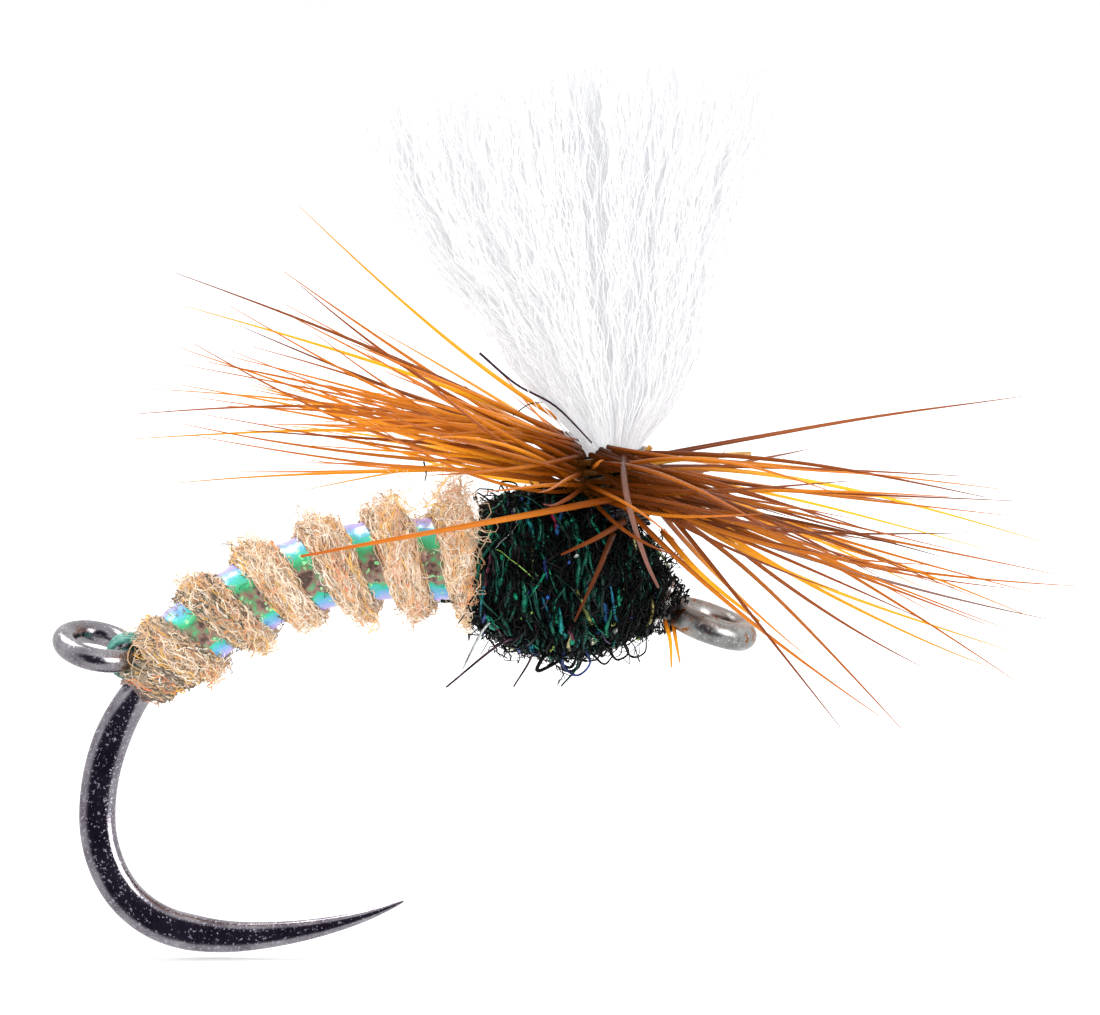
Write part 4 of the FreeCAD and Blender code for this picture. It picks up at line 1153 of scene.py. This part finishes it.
def make_strays():
    stray_group("thorax_strays", STRAY_FIBRES, FLASH, 0.6, "thorax_flash_fibres")
    stray_group("hackle_strays", STRAY_BARBS, BARB, 0.35)


def make_guard_hairs():
    """A few long hairs that stand up off the abdomen's dubbing."""
    rng = np.random.default_rng(61)
    count = 34
    travelled = shares(18)
    place, angle, reach, lift = draw(rng, count, (3.6, 8.6), (-60.0, 240.0), (-60.0, 60.0),
                                     (0.05, 0.3))
    paths = around(place - reach / 360.0 * travelled, angle + reach * travelled,
                   dubbing_radius(place, angle) + lift * travelled)
    paths = paths + wander(rng, paths, 0.1, 1.5)
    tubes("guard_hairs", paths, taper(paths, 0.01), HAIR, rng.random(count),
          "abdomen_guard_hairs")


make_strays()
make_guard_hairs()

# ---- threads on the shank

POST_TURNS = 17
POST_TURN_R = 0.455
CEMENT_FRONT = 0.1
CEMENT_REAR = 0.46


def make_threads():
    """The whip finish, the turns round the wing's foot, and the coat of cement."""
    rng = np.random.default_rng(51)
    head = round_hook(0.06, 0.5, 9, [0.3, 0.345, 0.375, 0.385], rng)
    winding("head_turns", head, 0.03, BLACK_THREAD, "head_wraps")
    turned = np.linspace(0.0, TURN * POST_TURNS, POST_TURNS * 30)
    height = np.linspace(1.1, 2.32, len(turned))
    path = off_post(POST_TURN_R * np.cos(turned), POST_TURN_R * np.sin(turned), height)
    winding("post_turns", path, 0.036, BLACK_THREAD, "post_wraps")
    places = np.linspace(CEMENT_FRONT, CEMENT_REAR, 24)[:, None]
    angles = ring_angles(48)
    share = (places - CEMENT_FRONT) / (CEMENT_REAR - CEMENT_FRONT)
    grid = around(places, angles, 0.36 + 0.065 * np.sin(math.pi * share))
    skin("head_coat", grid, CEMENT, "head_cement")


make_threads()

# ---- what stays as in the CAD

for node, material in [
        ("thread_underbody", TEAL_THREAD),
        ("rib_tie_in_wraps", TEAL_THREAD),
        ("post_anchor_wraps", BLACK_THREAD),
        ("post_butts", YARN)]:
    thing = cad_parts[node]
    thing.data.materials.clear()
    thing.data.materials.append(material)

# ---- floor, light and camera

def make_floor():
    size = 3.0
    mesh = bpy.data.meshes.new("floor")
    low = CAD_LOW[2] - 0.0001
    mesh.from_pydata([(-size, -size, low), (size, -size, low), (size, size, low),
                      (-size, size, low)], [], [(0, 1, 2, 3)])
    paint = Paint("floor_paint")
    paper = paint.noise(0.05, 2.0)
    paint.colour(paint.ramp(paper, (0.3, (0.93, 0.93, 0.93)), (0.7, (0.95, 0.95, 0.95))))
    paint.roughness(paper, 0.85, 0.95)
    mesh.materials.append(paint.material)
    floor = add_object("floor", mesh)
    floor.visible_glossy = False


def make_world():
    """White all round, with a dark patch on the viewer's side for polished metal to mirror."""
    world = bpy.data.worlds.new("studio")
    bpy.context.scene.world = world
    world.use_nodes = True
    nodes = world.node_tree.nodes
    links = world.node_tree.links
    direction = nodes.new("ShaderNodeTexCoord").outputs["Generated"]
    parts = nodes.new("ShaderNodeSeparateXYZ")
    links.new(direction, parts.inputs[0])
    patch = nodes.new("ShaderNodeMapRange")
    patch.interpolation_type = "SMOOTHSTEP"
    patch.inputs["From Min"].default_value = -0.9
    patch.inputs["From Max"].default_value = -0.66
    links.new(parts.outputs["Y"], patch.inputs["Value"])
    ramp = nodes.new("ShaderNodeValToRGB")
    ramp.color_ramp.elements[0].color = (0.05, 0.04, 0.07, 1.0)
    ramp.color_ramp.elements[1].color = (1.0, 1.0, 1.0, 1.0)
    links.new(patch.outputs["Result"], ramp.inputs["Fac"])
    shader = nodes["Background"]
    links.new(ramp.outputs["Color"], shader.inputs["Color"])
    shader.inputs["Strength"].default_value = 1.12


def add_light(name, place, target, width, watts, mirrored=True):
    light = bpy.data.lights.new(name, "AREA")
    light.size = width
    light.energy = watts
    lamp = add_object(name, light)
    lamp.location = Vector(place)
    lamp.visible_glossy = mirrored
    lamp.rotation_euler = (Vector(target) - lamp.location).to_track_quat("-Z", "Y").to_euler()


def add_camera(elevation, distance, aim, lens):
    """A camera on the viewer's side, raised by an angle in degrees."""
    camera = bpy.data.cameras.new("camera")
    camera.lens = lens
    camera.sensor_width = 36.0
    camera.clip_start = 0.01
    camera.clip_end = 20.0
    lean = math.radians(elevation)
    back = Vector((0.0, -math.cos(lean), math.sin(lean)))
    eye = add_object("camera", camera)
    eye.location = Vector(aim) + back * distance
    eye.rotation_euler = (-back).to_track_quat("-Z", "Y").to_euler()
    bpy.context.scene.camera = eye


make_floor()
make_world()
MIDDLE = (-0.0026, 0.0, 0.0015)
add_light("key_light", (-0.12, 0.1, 0.34), MIDDLE, 0.2, 0.9)
add_light("right_light", (0.22, -0.2, 0.06), MIDDLE, 0.18, 0.75)
add_light("left_light", (-0.26, -0.18, 0.1), MIDDLE, 0.18, 0.65, False)
add_camera(4.0, 0.1513, (-0.00264, 0.0, 0.00192), 300.0)
bpy.context.scene.view_settings.view_transform = "Standard"
